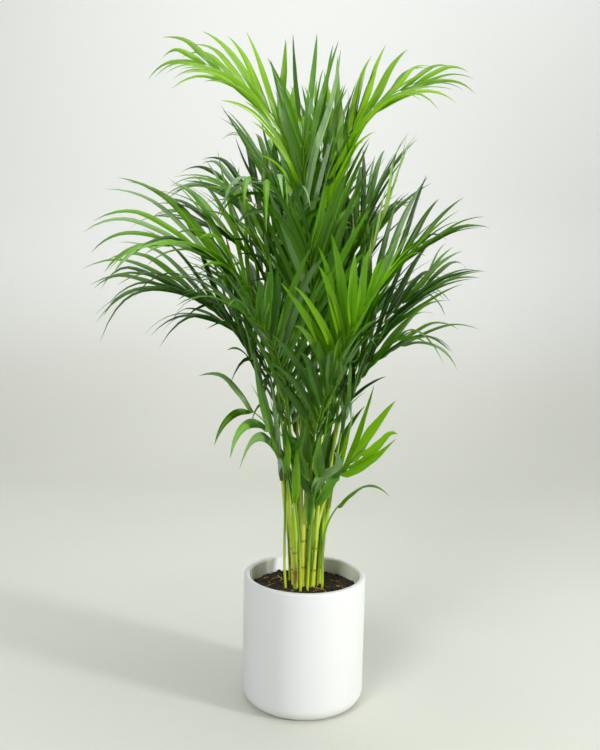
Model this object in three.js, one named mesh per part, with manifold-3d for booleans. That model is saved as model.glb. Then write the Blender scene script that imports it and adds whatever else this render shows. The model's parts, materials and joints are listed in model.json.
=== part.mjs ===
// A potted areca palm: a white planter, soil, a clump of canes and their arching fronds.
// Millimetres, +Z up. The origin is the middle of the planter's flat underside.
import * as THREE from 'three';
import { mergeVertices } from 'three/addons/utils/BufferGeometryUtils.js';
import Module from 'manifold-3d';

const wasm = await Module();
wasm.setup();

// ---------------------------------------------------------------- driving dimensions

const GAP = 0.3; // clearance left between two pieces that rest on each other
const SEAM = 1e-4; // corners nearer than this are one corner
const TURN = 2 * Math.PI;

const POT = {
  radius: 140,
  height: 294.5,
  wall: 13.5,
  floor: 14,
  footRound: 30, // radius of the outer bottom edge
  insideRound: 18,
  rimRound: 4.5,
  facets: 40,
};

const SOIL = {
  edge: 257, // height where the soil meets the wall
  crown: 269, // height of the mound in the middle
  lump: 3.2, // most that a clod stands proud or low
  rings: 4,
};

const LABEL = { firstFacet: 10, facets: 4, bottom: 259, top: 291, thickness: 0.8 };

const CANE = {
  buried: 64, // depth of the foot below the soil
  sides: 6,
  scarHeights: [0.3, 0.68], // share of the length above the foot
  scarWidth: 5,
  scarProud: 0.7,
};

// Stalk and midrib: a three-sided rod with its ridge up. A pair of leaflets grows from
// the two upper faces of one short step of it.
const STALK = {
  baseRadius: 3.4,
  blendRadius: 2.7, // where the first leaflets sit
  tipRadius: 1.0,
  bareSteps: 4,
  rootSpan: 9, // length of midrib that a leaflet's root takes
  spread: [0, 2.4, 3.9, 4.5], // distance from the cane's axis with 0 to 3 stalks on it
};

// A leaflet is four stations: root, widest part, upper part and point.
const LEAFLET = {
  stations: [0, 0.33, 0.7, 1],
  widths: [0.45, 1, 0.74, 0],
  thickness: 1.8,
  wring: 12, // most that its first stretch turns away from its root, in degrees
  twist: 15, // most that a blade turns about its own line, in degrees
  outwardTilt: 0.6, // how far the upper face of a frond leans back to the middle
};

// foot x, y, top x, y, z, foot radius, top radius
const CANES = {
  1: [-4, -18, -7, -24, 430, 10.0, 7.2],
  2: [17, -16, 22, -23, 405, 8.5, 7.2],
  3: [-23, -10, -31, -15, 400, 8.0, 7.2],
  4: [32, -3, 41, -6, 415, 8.0, 7.2],
  5: [9, 5, 11, 4, 455, 9.0, 6.8],
  6: [-13, 12, -16, 14, 440, 9.0, 6.8],
  7: [27, 21, 35, 25, 430, 8.0, 6.8],
  8: [6, 29, 7, 36, 445, 9.0, 6.8],
  9: [-29, 22, -39, 28, 410, 7.5, 7.2],
  10: [-11, 43, -16, 54, 420, 8.0, 7.2],
  11: [18, 46, 25, 58, 410, 7.5, 6.8],
  12: [-20, -30, -26, -38, 395, 7.0, 6.8],
};

// What the numbers in a frond's row are. The lean of the stalk at its base, the pitch of the
// midrib at its tip, the leaflets' angle to the midrib, their lift above it and the roll of
// the whole blade are in degrees. bare is the share of the length without leaflets, longest
// and width are of the largest leaflet, and brightness runs from 0 for old dark leaves to 1
// for new pale ones. Cane 0 stands for a stalk that rises from the soil by itself, at foot.
const FROND_FIELDS = [
  'cane', 'tip', 'lean', 'pitch', 'bare', 'pairs', 'longest', 'width',
  'angle', 'lift', 'droop', 'roll', 'brightness', 'foot',
];

const FROND_ROWS = {
  top_left: [6, [-254, 20, 1440], 5, 20, 0.52, 14, 225, 18, 32, 18, 0.8, -46, 0.85],
  top_right: [5, [226, 20, 1408], 6, 22, 0.52, 14, 228, 18, 32, 18, 0.6, 42, 0.8],
  top_middle_right: [8, [72, 60, 1282], 3, 74, 0.52, 12, 290, 18, 28, 26, 0.12, 0, 0.35],
  top_middle_left: [6, [-30, -20, 1324], 3, 80, 0.5, 10, 320, 18, 26, 26, 0.1, 15, 0.6],
  upper_left_back: [9, [-205, 110, 1190], 7, 26, 0.5, 12, 270, 17, 40, 20, 0.9, -40, 0.25],
  middle_left: [3, [-242, -20, 1085], 9, 20, 0.5, 11, 270, 17, 38, 30, 0.6, -30, 0.3],
  front_drooping: [1, [-135, -195, 1165], 4, -2, 0.6, 6, 175, 17, 52, 12, 1.9, 0, 0.5],
  big_left: [3, [-290, -150, 1035], 9, 8, 0.46, 13, 310, 17, 38, 24, 0.9, -40, 0.6],
  outer_left: [9, [-315, -70, 945], 12, 12, 0.5, 11, 300, 16, 34, 26, 0.9, -30, 0.35],
  lower_left_arcs: [9, [-215, 60, 875], 11, 18, 0.52, 7, 260, 16, 38, 20, 1.1, -25, 0.3],
  lower_left_curls: [0, [-132, -95, 690], 10, 30, 0.5, 4, 225, 22, 45, 15, 1.4, -55, 0.45, [-39, -26]],
  lower_left_upright: [12, [-72, -110, 640], 8, 60, 0.45, 3, 230, 20, 22, 15, 0.2, -40, 0.3],
  middle_right: [4, [246, -40, 1060], 8, 36, 0.46, 12, 250, 17, 34, 28, 0.35, 45, 0.4],
  lower_right_thin: [7, [268, 60, 968], 9, 34, 0.5, 10, 230, 15, 30, 14, 0.4, 35, 0.35],
  lower_right: [4, [206, -70, 835], 11, 22, 0.5, 8, 240, 17, 34, 24, 0.95, 25, 0.3],
  lowest_right: [2, [116, -94, 604], 12, 44, 0.45, 4, 215, 27, 19, 9, 0.12, 55, 0.75],
  front_right: [2, [118, -220, 940], 7, 35, 0.46, 11, 280, 18, 36, 30, 0.4, 20, 0.7],
  front_middle: [5, [-8, -170, 1060], 4, 55, 0.48, 11, 280, 18, 34, 30, 0.25, 0, 0.55],
  front_low: [1, [52, -170, 775], 7, 42, 0.5, 7, 250, 21, 32, 26, 0.6, 22, 0.4],
  front_left: [12, [-130, -240, 900], 9, 18, 0.48, 11, 270, 18, 38, 30, 0.6, 0, 0.45],
  lowest_middle: [2, [8, -95, 585], 6, 70, 0.42, 3, 170, 25, 20, 14, 0.2, 0, 0.5],
  back_right: [7, [150, 140, 1190], 6, 50, 0.48, 12, 280, 17, 36, 28, 0.35, 0, 0.3],
  back_tall: [8, [20, 180, 1315], 4, 62, 0.5, 12, 290, 17, 34, 28, 0.25, 0, 0.35],
  back_tall_left: [10, [-125, 240, 1280], 7, 38, 0.5, 12, 280, 17, 36, 28, 0.5, 0, 0.35],
  back_far_right: [11, [150, 300, 1130], 9, 28, 0.5, 12, 280, 17, 38, 28, 0.55, 0, 0.35],
  back_far: [10, [0, 355, 1190], 9, 22, 0.5, 12, 270, 17, 38, 28, 0.6, 0, 0.35],
  back_low_left: [10, [-190, 260, 950], 12, 16, 0.5, 11, 260, 17, 38, 28, 0.7, 0, 0.3],
  back_low_right: [11, [210, 230, 930], 12, 16, 0.5, 11, 260, 17, 38, 28, 0.7, 0, 0.3],
  new_leaf: [4, [170, -72, 1180], 7, 70, 0.62, 5, 190, 11, 12, 10, 0.05, 0, 0.95],
  young_leaf: [0, [80, -26, 470], 2, 48, 0.9, 1, 150, 20, 16, 8, 1.5, 0, 0.4, [41, -21]],
  young_middle: [0, [30, -92, 560], 3, 64, 0.66, 2, 150, 26, 16, 12, 0.2, 0, 0.6, [6, -38]],
  young_left: [0, [-46, -90, 565], 3, 66, 0.66, 2, 150, 18, 18, 12, 0.5, 0, 0.6, [-8, -42]],
};

/** Rows of numbers as named values. */
const FRONDS = Object.entries(FROND_ROWS).map(([name, row]) => (
  { name, ...Object.fromEntries(FROND_FIELDS.map((field, i) => [field, row[i]])) }));

const RIB_STEPS = 12; // straight pieces that stand for a midrib when leaflets keep clear of it
const TOUCH = 1e-4; // cubic millimetres in common that still count as only touching

// How the leaflets are bent clear of each other.
const BENDING = {
  rounds: 300,
  stepsBetweenSearches: 10,
  searchMargin: 36,
  clearance: 0.9, // beyond the blades' own thickness
  springBack: 0.03, // pull to the unbent shape, which fades out
  springRounds: 90,
  rootSpring: 0.02, // pull on the widest part, which lasts
};

// ---------------------------------------------------------------- materials

const paint = (color, roughness) =>
  new THREE.MeshStandardMaterial({ color, roughness, metalness: 0 });
const DARK_GREEN = new THREE.Color(0x1f4a12);
const BRIGHT_GREEN = new THREE.Color(0x8fc32e);
const leafPaint = (brightness) =>
  paint(DARK_GREEN.clone().lerp(BRIGHT_GREEN, brightness), 0.45);

// ---------------------------------------------------------------- small helpers

const degrees = THREE.MathUtils.degToRad;
const vector = (x, y, z) => new THREE.Vector3(x, y, z);
const UP = vector(0, 0, 1);
const clamp01 = (x) => Math.min(1, Math.max(0, x));

/** A repeatable draw from 0 to 1 for a pair of whole numbers. */
function draw(a, b) {
  const x = Math.sin(a * 12.9898 + b * 78.233) * 43758.5453;
  return x - Math.floor(x);
}

/** The part of v at right angles to the unit vector axis, made one long. */
function across(v, axis) {
  return v.clone().addScaledVector(axis, -v.dot(axis)).normalize();
}

/** A geometry whose faces share their corners, so that it is one closed skin. */
function mergedOf(geometry) {
  geometry.deleteAttribute('normal');
  geometry.deleteAttribute('uv');
  return mergeVertices(geometry, SEAM);
}

/** A three.js geometry as a manifold solid. */
function solidOf(geometry) {
  const merged = mergedOf(geometry);
  return new wasm.Manifold(new wasm.Mesh({
    numProp: 3,
    vertProperties: Float32Array.from(merged.attributes.position.array),
    triVerts: Uint32Array.from(merged.index.array),
  }));
}

/** A manifold solid as a three.js geometry. */
function geometryOf(solid) {
  const mesh = solid.getMesh();
  const geometry = new THREE.BufferGeometry();
  geometry.setAttribute('position', new THREE.BufferAttribute(mesh.vertProperties, 3));
  geometry.setIndex(new THREE.BufferAttribute(mesh.triVerts, 1));
  geometry.computeVertexNormals();
  return geometry;
}

/** A closed skin through a row of rings that all have the same number of points. */
function skin(rings) {
  const sides = rings[0].length;
  const points = rings.flat();
  const index = [];
  for (let i = 0; i + 1 < rings.length; i += 1) {
    for (let j = 0; j < sides; j += 1) {
      const a = i * sides + j;
      const b = i * sides + ((j + 1) % sides);
      index.push(a, b, b + sides, a, b + sides, a + sides);
    }
  }
  const last = (rings.length - 1) * sides;
  for (let j = 1; j + 1 < sides; j += 1) {
    index.push(0, j + 1, j, last, last + j, last + j + 1);
  }
  const geometry = new THREE.BufferGeometry().setFromPoints(points);
  geometry.setIndex(index);
  return geometry;
}

/** A ring of points round a centre, in the plane of two unit vectors. */
function ring(centre, right, ahead, radius, sides) {
  return Array.from({ length: sides }, (_, j) => {
    const angle = (TURN * j) / sides;
    return centre.clone()
      .addScaledVector(right, radius * Math.cos(angle))
      .addScaledVector(ahead, radius * Math.sin(angle));
  });
}

/** Points on a quarter circle from one angle to another. */
function arc(x, z, radius, from, to, steps) {
  return Array.from({ length: steps + 1 }, (_, i) => {
    const angle = from + ((to - from) * i) / steps;
    return new THREE.Vector2(x + radius * Math.cos(angle), z + radius * Math.sin(angle));
  });
}

/** A profile of radius and height turned round the Z axis. */
function turned(profile, facets) {
  const geometry = new THREE.LatheGeometry(profile, facets);
  geometry.rotateX(Math.PI / 2);
  return geometry;
}

// ---------------------------------------------------------------- planter, soil and label

const INSIDE = POT.radius - POT.wall;
const FLAT_SIDE = Math.cos(Math.PI / POT.facets); // flat to corner ratio of the facets

function potGeometry() {
  const { radius, height, floor, footRound, insideRound, rimRound, facets } = POT;
  const quarter = Math.PI / 2;
  const profile = [
    new THREE.Vector2(0, 0),
    ...arc(radius - footRound, footRound, footRound, -quarter, 0, 5),
    ...arc(radius - rimRound, height - rimRound, rimRound, 0, quarter, 2),
    ...arc(INSIDE + rimRound, height - rimRound, rimRound, quarter, 2 * quarter, 2),
    ...arc(INSIDE - insideRound, floor + insideRound, insideRound, 0, -quarter, 2),
    new THREE.Vector2(0, floor),
  ];
  return turned(profile, facets);
}

/** Height of the soil at a radius, from the wall up to the mound. */
function soilLevel(radius) {
  const share = radius / INSIDE;
  return SOIL.crown - (SOIL.crown - SOIL.edge) * share ** 2;
}

function soilGeometry(holes) {
  const outer = INSIDE - GAP / FLAT_SIDE;
  const bottom = POT.floor + GAP;
  const quarter = Math.PI / 2;
  const profile = [
    new THREE.Vector2(0, bottom),
    ...arc(outer - POT.insideRound, bottom + POT.insideRound, POT.insideRound, -quarter, 0, 2),
  ];
  for (let i = 0; i <= SOIL.rings; i += 1) {
    const radius = outer * (1 - i / SOIL.rings);
    profile.push(new THREE.Vector2(radius, soilLevel(radius)));
  }
  const geometry = mergedOf(turned(profile, POT.facets));
  raiseClods(geometry, outer);
  let solid = solidOf(geometry);
  for (const hole of holes) solid = solid.subtract(solidOf(hole));
  return geometryOf(solid);
}

/** Lifts and lowers the points of the soil's top by a repeatable draw. */
function raiseClods(geometry, outer) {
  const position = geometry.attributes.position;
  for (let i = 0; i < position.count; i += 1) {
    const radius = Math.hypot(position.getX(i), position.getY(i));
    const onTop = position.getZ(i) > SOIL.edge - 1;
    if (onTop) {
      const fade = clamp01((outer + 4 - radius) / 20);
      const lift = (draw(Math.round(position.getX(i)), Math.round(position.getY(i))) - 0.5);
      position.setZ(i, position.getZ(i) + 2 * SOIL.lump * lift * fade);
    }
  }
}

/** A blank tag on the inner wall, bent along the wall's own facets. */
function labelGeometry() {
  const outer = INSIDE - GAP / FLAT_SIDE;
  const inner = outer - LABEL.thickness;
  const rings = [];
  for (let i = 0; i <= LABEL.facets; i += 1) {
    const angle = (TURN * (LABEL.firstFacet + i)) / POT.facets;
    const at = (radius, z) => vector(radius * Math.cos(angle), radius * Math.sin(angle), z);
    rings.push([
      at(inner, LABEL.bottom),
      at(inner, LABEL.top),
      at(outer, LABEL.top),
      at(outer, LABEL.bottom),
    ]);
  }
  return skin(rings);
}

// ---------------------------------------------------------------- canes

/** A tapered cane with ring scars. grow widens it for its hole in the soil. */
function caneGeometry(row, grow = 0) {
  const [footX, footY, topX, topY, topZ, footRadius, topRadius] = row;
  const soil = SOIL.crown;
  const foot = vector(footX, footY, soil);
  const top = vector(topX, topY, topZ);
  const along = top.clone().sub(foot);
  const right = vector(1, 0, 0);
  const ahead = vector(0, 1, 0);
  const section = (share, proud) => {
    const radius = footRadius + (topRadius - footRadius) * clamp01(share);
    const centre = foot.clone().addScaledVector(along, share);
    return ring(centre, right, ahead, radius + proud + grow, CANE.sides);
  };
  const height = topZ - soil;
  const halfScar = CANE.scarWidth / 2 / height;
  const rings = [section(-(CANE.buried + (grow > 0 ? GAP : 0)) / height, 0)];
  for (const share of CANE.scarHeights) {
    rings.push(section(share - halfScar, 0));
    rings.push(section(share, CANE.scarProud));
    rings.push(section(share + halfScar, 0));
  }
  rings.push(section(1, 0));
  return skin(rings);
}

// ---------------------------------------------------------------- fronds

/** Angles round each cane's top at which its stalks stand, spread evenly. */
function stalkAngles() {
  const angles = {};
  const byCane = {};
  for (const { name, cane, tip } of FRONDS) {
    if (cane === 0) continue;
    const azimuth = Math.atan2(tip[1] - CANES[cane][3], tip[0] - CANES[cane][2]);
    (byCane[cane] ??= []).push({ name, azimuth });
  }
  for (const stalks of Object.values(byCane)) {
    const count = stalks.length;
    const sumX = stalks.reduce((sum, s) => sum + Math.cos(s.azimuth), 0);
    const sumY = stalks.reduce((sum, s) => sum + Math.sin(s.azimuth), 0);
    const middle = Math.atan2(sumY, sumX);
    const turnFrom = (s) => Math.atan2(Math.sin(s.azimuth - middle), Math.cos(s.azimuth - middle));
    stalks.sort((a, b) => turnFrom(a) - turnFrom(b));
    stalks.forEach((stalk, i) => {
      const angle = middle + TURN * ((i + 0.5) / count - 0.5);
      angles[stalk.name] = { angle, spread: STALK.spread[count] };
    });
  }
  return angles;
}

/** The midrib of a frond, from its base on the cane or in the soil to its tip. */
function midribCurve(frond, angles) {
  const { name, cane, lean, pitch } = frond;
  const tip = vector(...frond.tip);
  let base;
  if (cane === 0) {
    const [x, y] = frond.foot;
    base = vector(x, y, SOIL.crown - CANE.buried / 2);
  } else {
    const [, , x, y, z] = CANES[cane];
    const { angle, spread } = angles[name];
    base = vector(x + spread * Math.cos(angle), y + spread * Math.sin(angle), z + GAP);
  }
  const azimuth = Math.atan2(tip.y - base.y, tip.x - base.x);
  const outward = vector(Math.cos(azimuth), Math.sin(azimuth), 0);
  const reach = tip.distanceTo(base);
  const start = UP.clone().multiplyScalar(Math.cos(degrees(lean)))
    .addScaledVector(outward, Math.sin(degrees(lean)));
  const end = outward.clone().multiplyScalar(Math.cos(degrees(pitch)))
    .addScaledVector(UP, Math.sin(degrees(pitch)));
  return new THREE.CubicBezierCurve3(
    base,
    base.clone().addScaledVector(start, 0.42 * reach),
    tip.clone().addScaledVector(end, -0.38 * reach),
    tip,
  );
}

/** Tangent, upper face normal and side of a blade at a point of its midrib. */
function midribFrame(curve, share, outward, roll) {
  const tangent = curve.getTangent(share);
  const back = UP.clone().addScaledVector(outward, -LEAFLET.outwardTilt);
  const flat = across(back, tangent);
  const side = tangent.clone().cross(flat);
  const normal = flat.clone().multiplyScalar(Math.cos(roll)).addScaledVector(side, Math.sin(roll));
  return { tangent, normal, side: tangent.clone().cross(normal) };
}

/** Place of a pair of leaflets along the leafy stretch, from 0 to 1. */
function pairPlace(pair, pairs) {
  return (pair + 0.25) / (pairs - 0.5);
}

/** The leaflets of one frond, as unbent lines of four points with a side vector. */
function leafletsOf(frond, frondIndex, curve) {
  const { bare, pairs, longest, angle, lift, droop, roll } = frond;
  const base = curve.v0;
  const tip = curve.v3;
  const outward = vector(tip.x - base.x, tip.y - base.y, 0).normalize();
  const leaflets = [];
  for (let pair = 0; pair < pairs; pair += 1) {
    for (const hand of [-1, 1]) {
      const number = 2 * pair + (hand > 0 ? 1 : 0);
      const up = pairPlace(pair, pairs);
      const share = bare + (1 - bare) * up;
      const frame = midribFrame(curve, share, outward, degrees(roll));
      const vary = (offset) => draw(frondIndex + offset, number) - 0.5;
      const open = degrees(angle * (1 - 0.55 * up ** 0.8) + 10 * vary(1));
      const raised = degrees(lift * (1 - 0.3 * up) + 16 * vary(31));
      const direction = frame.tangent.clone().multiplyScalar(Math.cos(open))
        .addScaledVector(frame.side, hand * Math.sin(open) * Math.cos(raised))
        .addScaledVector(frame.normal, Math.sin(open) * Math.sin(raised)).normalize();
      const swell = 0.62 + 0.55 * Math.sin(Math.PI * Math.min(1, 0.12 + 0.62 * up));
      const length = longest * swell * (1 - 0.45 * up ** 2) * (1 + 0.16 * vary(61));
      const width = frond.width * (0.8 + 0.25 * Math.sin(Math.PI * up)) * (1 + 0.2 * vary(91));
      const normal = frame.normal.clone().multiplyScalar(Math.cos(raised))
        .addScaledVector(frame.side, -hand * Math.sin(raised));
      const twist = degrees(LEAFLET.twist * 2 * vary(121));
      const root = curve.getPoint(share);
      const points = droopingLine(root, direction, length, droop);
      const along = frame.tangent.multiplyScalar(hand);
      leaflets.push({ frond: frondIndex, pair, hand, points, normal, along, twist, width });
    }
  }
  return leaflets;
}

/** A line that starts along a direction and sags more the further and flatter it goes. */
function droopingLine(root, direction, length, droop) {
  const flat = Math.hypot(direction.x, direction.y);
  const points = [root.clone()];
  for (let i = 0; i + 1 < LEAFLET.stations.length; i += 1) {
    const from = LEAFLET.stations[i];
    const to = LEAFLET.stations[i + 1];
    const sag = droop * flat * 1.5 * ((from + to) / 2) ** 1.7;
    const heading = direction.clone().addScaledVector(UP, -sag).normalize();
    points.push(points[i].clone().addScaledVector(heading, length * (to - from)));
  }
  return points;
}

/** Headings and side vectors of a leaflet at its stations. */
function bladeFrames(leaflet) {
  const { points, normal, along, twist } = leaflet;
  const steps = points.slice(1).map((p, i) => p.clone().sub(points[i]).normalize());
  const last = steps.length - 1;
  const headings = points.map((_, i) =>
    steps[Math.max(0, i - 1)].clone().add(steps[Math.min(last, i)]).normalize());
  let side = normal.clone().cross(headings[0]).normalize();
  const rootSide = across(along, headings[0]);
  const wring = Math.atan2(rootSide.clone().cross(side).dot(headings[0]), rootSide.dot(side));
  const most = degrees(LEAFLET.wring);
  side.applyAxisAngle(headings[0], Math.max(-most, Math.min(most, wring)) - wring);
  const sides = headings.map((heading, i) => {
    side = across(side, heading);
    return side.clone().applyAxisAngle(heading, twist * LEAFLET.stations[i]);
  });
  return { headings, sides };
}

/** Shares along two segments at which they come closest. */
function closestShares(p1, q1, p2, q2) {
  const d1 = q1.clone().sub(p1);
  const d2 = q2.clone().sub(p2);
  const r = p1.clone().sub(p2);
  const a = d1.lengthSq();
  const e = d2.lengthSq();
  const f = d2.dot(r);
  const c = d1.dot(r);
  const b = d1.dot(d2);
  const flat = a * e - b * b;
  let s = flat > 1e-9 ? clamp01((b * f - c * e) / flat) : 0;
  const t = (b * s + f) / e;
  const held = clamp01(t);
  if (held !== t) s = clamp01((b * held - c) / a);
  return [s, held];
}

/** Pairs of segments of different fronds that lie near each other. */
function nearPairs(first, second, sameList) {
  const pairs = [];
  const measure = (item) => ({
    middle: item.from.clone().add(item.to).multiplyScalar(0.5),
    half: item.from.distanceTo(item.to) / 2,
  });
  const a = first.map(measure);
  const b = sameList ? a : second.map(measure);
  for (let i = 0; i < first.length; i += 1) {
    for (let j = sameList ? i + 1 : 0; j < second.length; j += 1) {
      const atRoots = !sameList || (first[i].i === 0 && second[j].i === 0);
      if (first[i].frond === second[j].frond && atRoots) continue;
      if (sameList && first[i].owner === second[j].owner) continue;
      const reach = a[i].half + b[j].half + BENDING.searchMargin;
      if (a[i].middle.distanceToSquared(b[j].middle) < reach * reach) pairs.push([i, j]);
    }
  }
  return pairs;
}

/** Bends leaflets aside, in small rounds, until those of different fronds are clear. */
function bendClear(leaflets, ribs) {
  const unbent = leaflets.map((leaflet) => leaflet.points.map((p) => p.clone()));
  const lengths = unbent.map((line) => line.slice(1).map((p, i) => p.distanceTo(line[i])));
  const segments = leaflets.flatMap((leaflet, owner) =>
    [0, 1, 2].map((i) => ({
      owner, i, frond: leaflet.frond, from: leaflet.points[i], to: leaflet.points[i + 1],
    })));
  const { widths, thickness } = LEAFLET;
  let bladePairs = [];
  let ribPairs = [];
  for (let round = 0; round < BENDING.rounds; round += 1) {
    if (round % BENDING.stepsBetweenSearches === 0) {
      bladePairs = nearPairs(segments, segments, true);
      ribPairs = nearPairs(segments, ribs, false);
    }
    const sides = leaflets.map((leaflet) => bladeFrames(leaflet).sides);
    const pushes = leaflets.map((leaflet) => leaflet.points.map(() => vector(0, 0, 0)));
    const weights = leaflets.map((leaflet) => leaflet.points.map(() => 0));
    const halfWidthAlong = (segment, share, away) => {
      const { owner, i } = segment;
      const side = sides[owner][i].clone().multiplyScalar(1 - share)
        .addScaledVector(sides[owner][i + 1], share);
      const width = widths[i] * (1 - share) + widths[i + 1] * share;
      return (width * leaflets[owner].width / 2) * Math.abs(side.dot(away));
    };
    const push = (segment, share, move) => {
      const { owner, i } = segment;
      const near = 1 - share;
      const scale = 0.8 / Math.max(near * near + share * share, 1e-6);
      pushes[owner][i].addScaledVector(move, near * scale);
      pushes[owner][i + 1].addScaledVector(move, share * scale);
      weights[owner][i] += near;
      weights[owner][i + 1] += share;
    };
    const apart = (a, b) => {
      const [s, t] = closestShares(a.from, a.to, b.from, b.to);
      const away = a.from.clone().lerp(a.to, s).sub(b.from.clone().lerp(b.to, t));
      const distance = away.length();
      return { s, t, distance, away: away.divideScalar(Math.max(distance, 1e-6)) };
    };
    for (const [i, j] of bladePairs) {
      const a = segments[i];
      const b = segments[j];
      const { s, t, distance, away } = apart(a, b);
      const need = halfWidthAlong(a, s, away) + halfWidthAlong(b, t, away)
        + thickness + BENDING.clearance;
      if (need > distance) {
        const half = (need - distance) / 2;
        push(a, s, away.clone().multiplyScalar(half));
        push(b, t, away.clone().multiplyScalar(-half));
      }
    }
    for (const [i, j] of ribPairs) {
      const a = segments[i];
      const rib = ribs[j];
      const { s, distance, away } = apart(a, rib);
      const need = halfWidthAlong(a, s, away) + rib.radius + thickness / 2 + BENDING.clearance;
      if (need > distance) push(a, s, away.clone().multiplyScalar(need - distance));
    }
    const pull = BENDING.springBack * Math.max(0, 1 - round / BENDING.springRounds);
    leaflets.forEach((leaflet, k) => {
      const { points } = leaflet;
      for (let i = 1; i < points.length; i += 1) {
        points[i].addScaledVector(pushes[k][i], 1 / Math.max(weights[k][i], 1));
        points[i].lerp(unbent[k][i], i === 1 ? pull + BENDING.rootSpring : pull);
      }
      for (let i = 1; i < points.length; i += 1) {
        const step = points[i].clone().sub(points[i - 1]).normalize();
        points[i].copy(points[i - 1]).addScaledVector(step, lengths[k][i - 1]);
      }
    });
  }
}

/** Radius of a frond's stalk and midrib at a share of its length. */
function stalkRadius(share, bare) {
  const { baseRadius, blendRadius, tipRadius } = STALK;
  if (share < bare) return baseRadius + (blendRadius - baseRadius) * (share / bare);
  return blendRadius + (tipRadius - blendRadius) * ((share - bare) / (1 - bare));
}

/** Rings of the rod, ridge first, and the number of the ring below each pair. */
function rodRings(frond, curve, grow = 0) {
  const { bare, pairs, roll } = frond;
  const { bareSteps, rootSpan } = STALK;
  const outward = vector(curve.v3.x - curve.v0.x, curve.v3.y - curve.v0.y, 0).normalize();
  const halfRoot = rootSpan / 2 / curve.getLength();
  const shares = Array.from({ length: bareSteps }, (_, i) => (bare * i) / bareSteps);
  const below = [];
  for (let pair = 0; pair < pairs; pair += 1) {
    const middle = bare + (1 - bare) * pairPlace(pair, pairs);
    below.push(shares.length);
    shares.push(middle - halfRoot, middle + halfRoot);
  }
  shares.push(1);
  const rings = shares.map((share, i) => {
    const { tangent, normal, side } = midribFrame(curve, share, outward, degrees(roll));
    const level = i === 0 ? UP : tangent;
    const ahead = across(side, level);
    const up = ahead.clone().cross(level);
    return ring(curve.getPoint(share), up, ahead, stalkRadius(share, bare) + grow, 3);
  });
  return { rings, below };
}

/** Corners of a leaflet's root on the rod: ridge, then the two edges of its blade. */
function rootCorners(leaflet, rings, below) {
  const lower = rings[below[leaflet.pair]];
  const upper = rings[below[leaflet.pair] + 1];
  return leaflet.hand > 0 ? [lower[0], lower[1], upper[1]] : [upper[0], upper[2], lower[2]];
}

/** Rings of a leaflet past its root, ridge first, and its point. */
function bladeRings(leaflet) {
  const { points, width } = leaflet;
  const { headings, sides } = bladeFrames(leaflet);
  return points.slice(1).map((point, k) => {
    const i = k + 1;
    const normal = headings[i].clone().cross(sides[i]);
    const half = (LEAFLET.widths[i] * width) / 2;
    const rise = (LEAFLET.thickness * LEAFLET.widths[i] ** 0.5) / 2;
    if (half === 0) return [point];
    return [
      point.clone().addScaledVector(normal, rise),
      point.clone().addScaledVector(sides[i], -half).addScaledVector(normal, -rise),
      point.clone().addScaledVector(sides[i], half).addScaledVector(normal, -rise),
    ];
  });
}

/** A leaflet by itself, closed at its root, for finding what it crosses. */
function leafletGeometry(leaflet, rings, below) {
  const frond = new FrondSkin();
  const root = rootCorners(leaflet, rings, below).map((corner) => frond.point(corner));
  frond.face(root[0], root[2], root[1]);
  frond.blade(root, bladeRings(leaflet));
  return frond.geometry();
}

/** Collects the points and faces of a frond. */
class FrondSkin {
  constructor() {
    this.points = [];
    this.index = [];
  }

  point(place) {
    return this.points.push(place) - 1;
  }

  face(...corners) {
    this.index.push(...corners);
  }

  /** A wall from one loop of points to the next, which may be a single point. */
  wall(loop, next) {
    loop.forEach((a, j) => {
      const b = loop[(j + 1) % loop.length];
      if (next.length === 1) {
        this.face(a, b, next[0]);
      } else {
        this.face(a, b, next[(j + 1) % loop.length]);
        this.face(a, next[(j + 1) % loop.length], next[j]);
      }
    });
  }

  /** Carries a blade from the loop at its root out to its point. */
  blade(root, rings) {
    let loop = root;
    for (const ringPoints of rings) {
      const next = ringPoints.map((place) => this.point(place));
      this.wall(loop, next);
      loop = next;
    }
  }

  geometry() {
    const geometry = new THREE.BufferGeometry().setFromPoints(this.points);
    geometry.setIndex(this.index);
    return geometry;
  }
}

/** A whole frond: rod and leaflets in one skin, with no seams between them. */
function frondGeometry(rings, below, leaflets) {
  const frond = new FrondSkin();
  const loops = rings.map((ringPoints) => ringPoints.map((place) => frond.point(place)));
  frond.face(loops[0][0], loops[0][2], loops[0][1]);
  const grown = new Map(leaflets.map((leaflet) => [`${leaflet.pair},${leaflet.hand}`, leaflet]));
  for (let i = 0; i + 1 < loops.length; i += 1) {
    const [a, r, l] = loops[i];
    const [a2, r2, l2] = loops[i + 1];
    const pair = below.indexOf(i);
    const right = grown.get(`${pair},1`);
    const left = grown.get(`${pair},-1`);
    if (right) frond.blade([a, r, r2], bladeRings(right));
    else frond.face(a, r, r2);
    if (left) frond.blade([a2, l2, l], bladeRings(left));
    else frond.face(a2, l2, l);
    frond.face(a, r2, a2);
    frond.face(l, a, a2);
    frond.face(r, l, l2);
    frond.face(r, l2, r2);
  }
  const [a, r, l] = loops[loops.length - 1];
  frond.face(a, r, l);
  return frond.geometry();
}

/** Whether any edge of a closed skin runs through one of its own faces. */
function foldsThroughItself(geometry) {
  const { position } = geometry.attributes;
  const at = (i) => vector(0, 0, 0).fromBufferAttribute(position, i);
  const faces = [];
  for (let i = 0; i < geometry.index.count; i += 3) {
    faces.push([0, 1, 2].map((k) => geometry.index.getX(i + k)));
  }
  return faces.some((face) => face.some((a, k) => {
    const b = face[(k + 1) % 3];
    const reach = at(a).distanceTo(at(b));
    const ray = new THREE.Ray(at(a), at(b).sub(at(a)).normalize());
    return faces.some((other) => {
      if (other.includes(a) || other.includes(b)) return false;
      const hit = ray.intersectTriangle(...other.map(at), false, vector(0, 0, 0));
      return hit !== null && hit.distanceTo(at(a)) < reach;
    });
  }));
}

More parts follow.
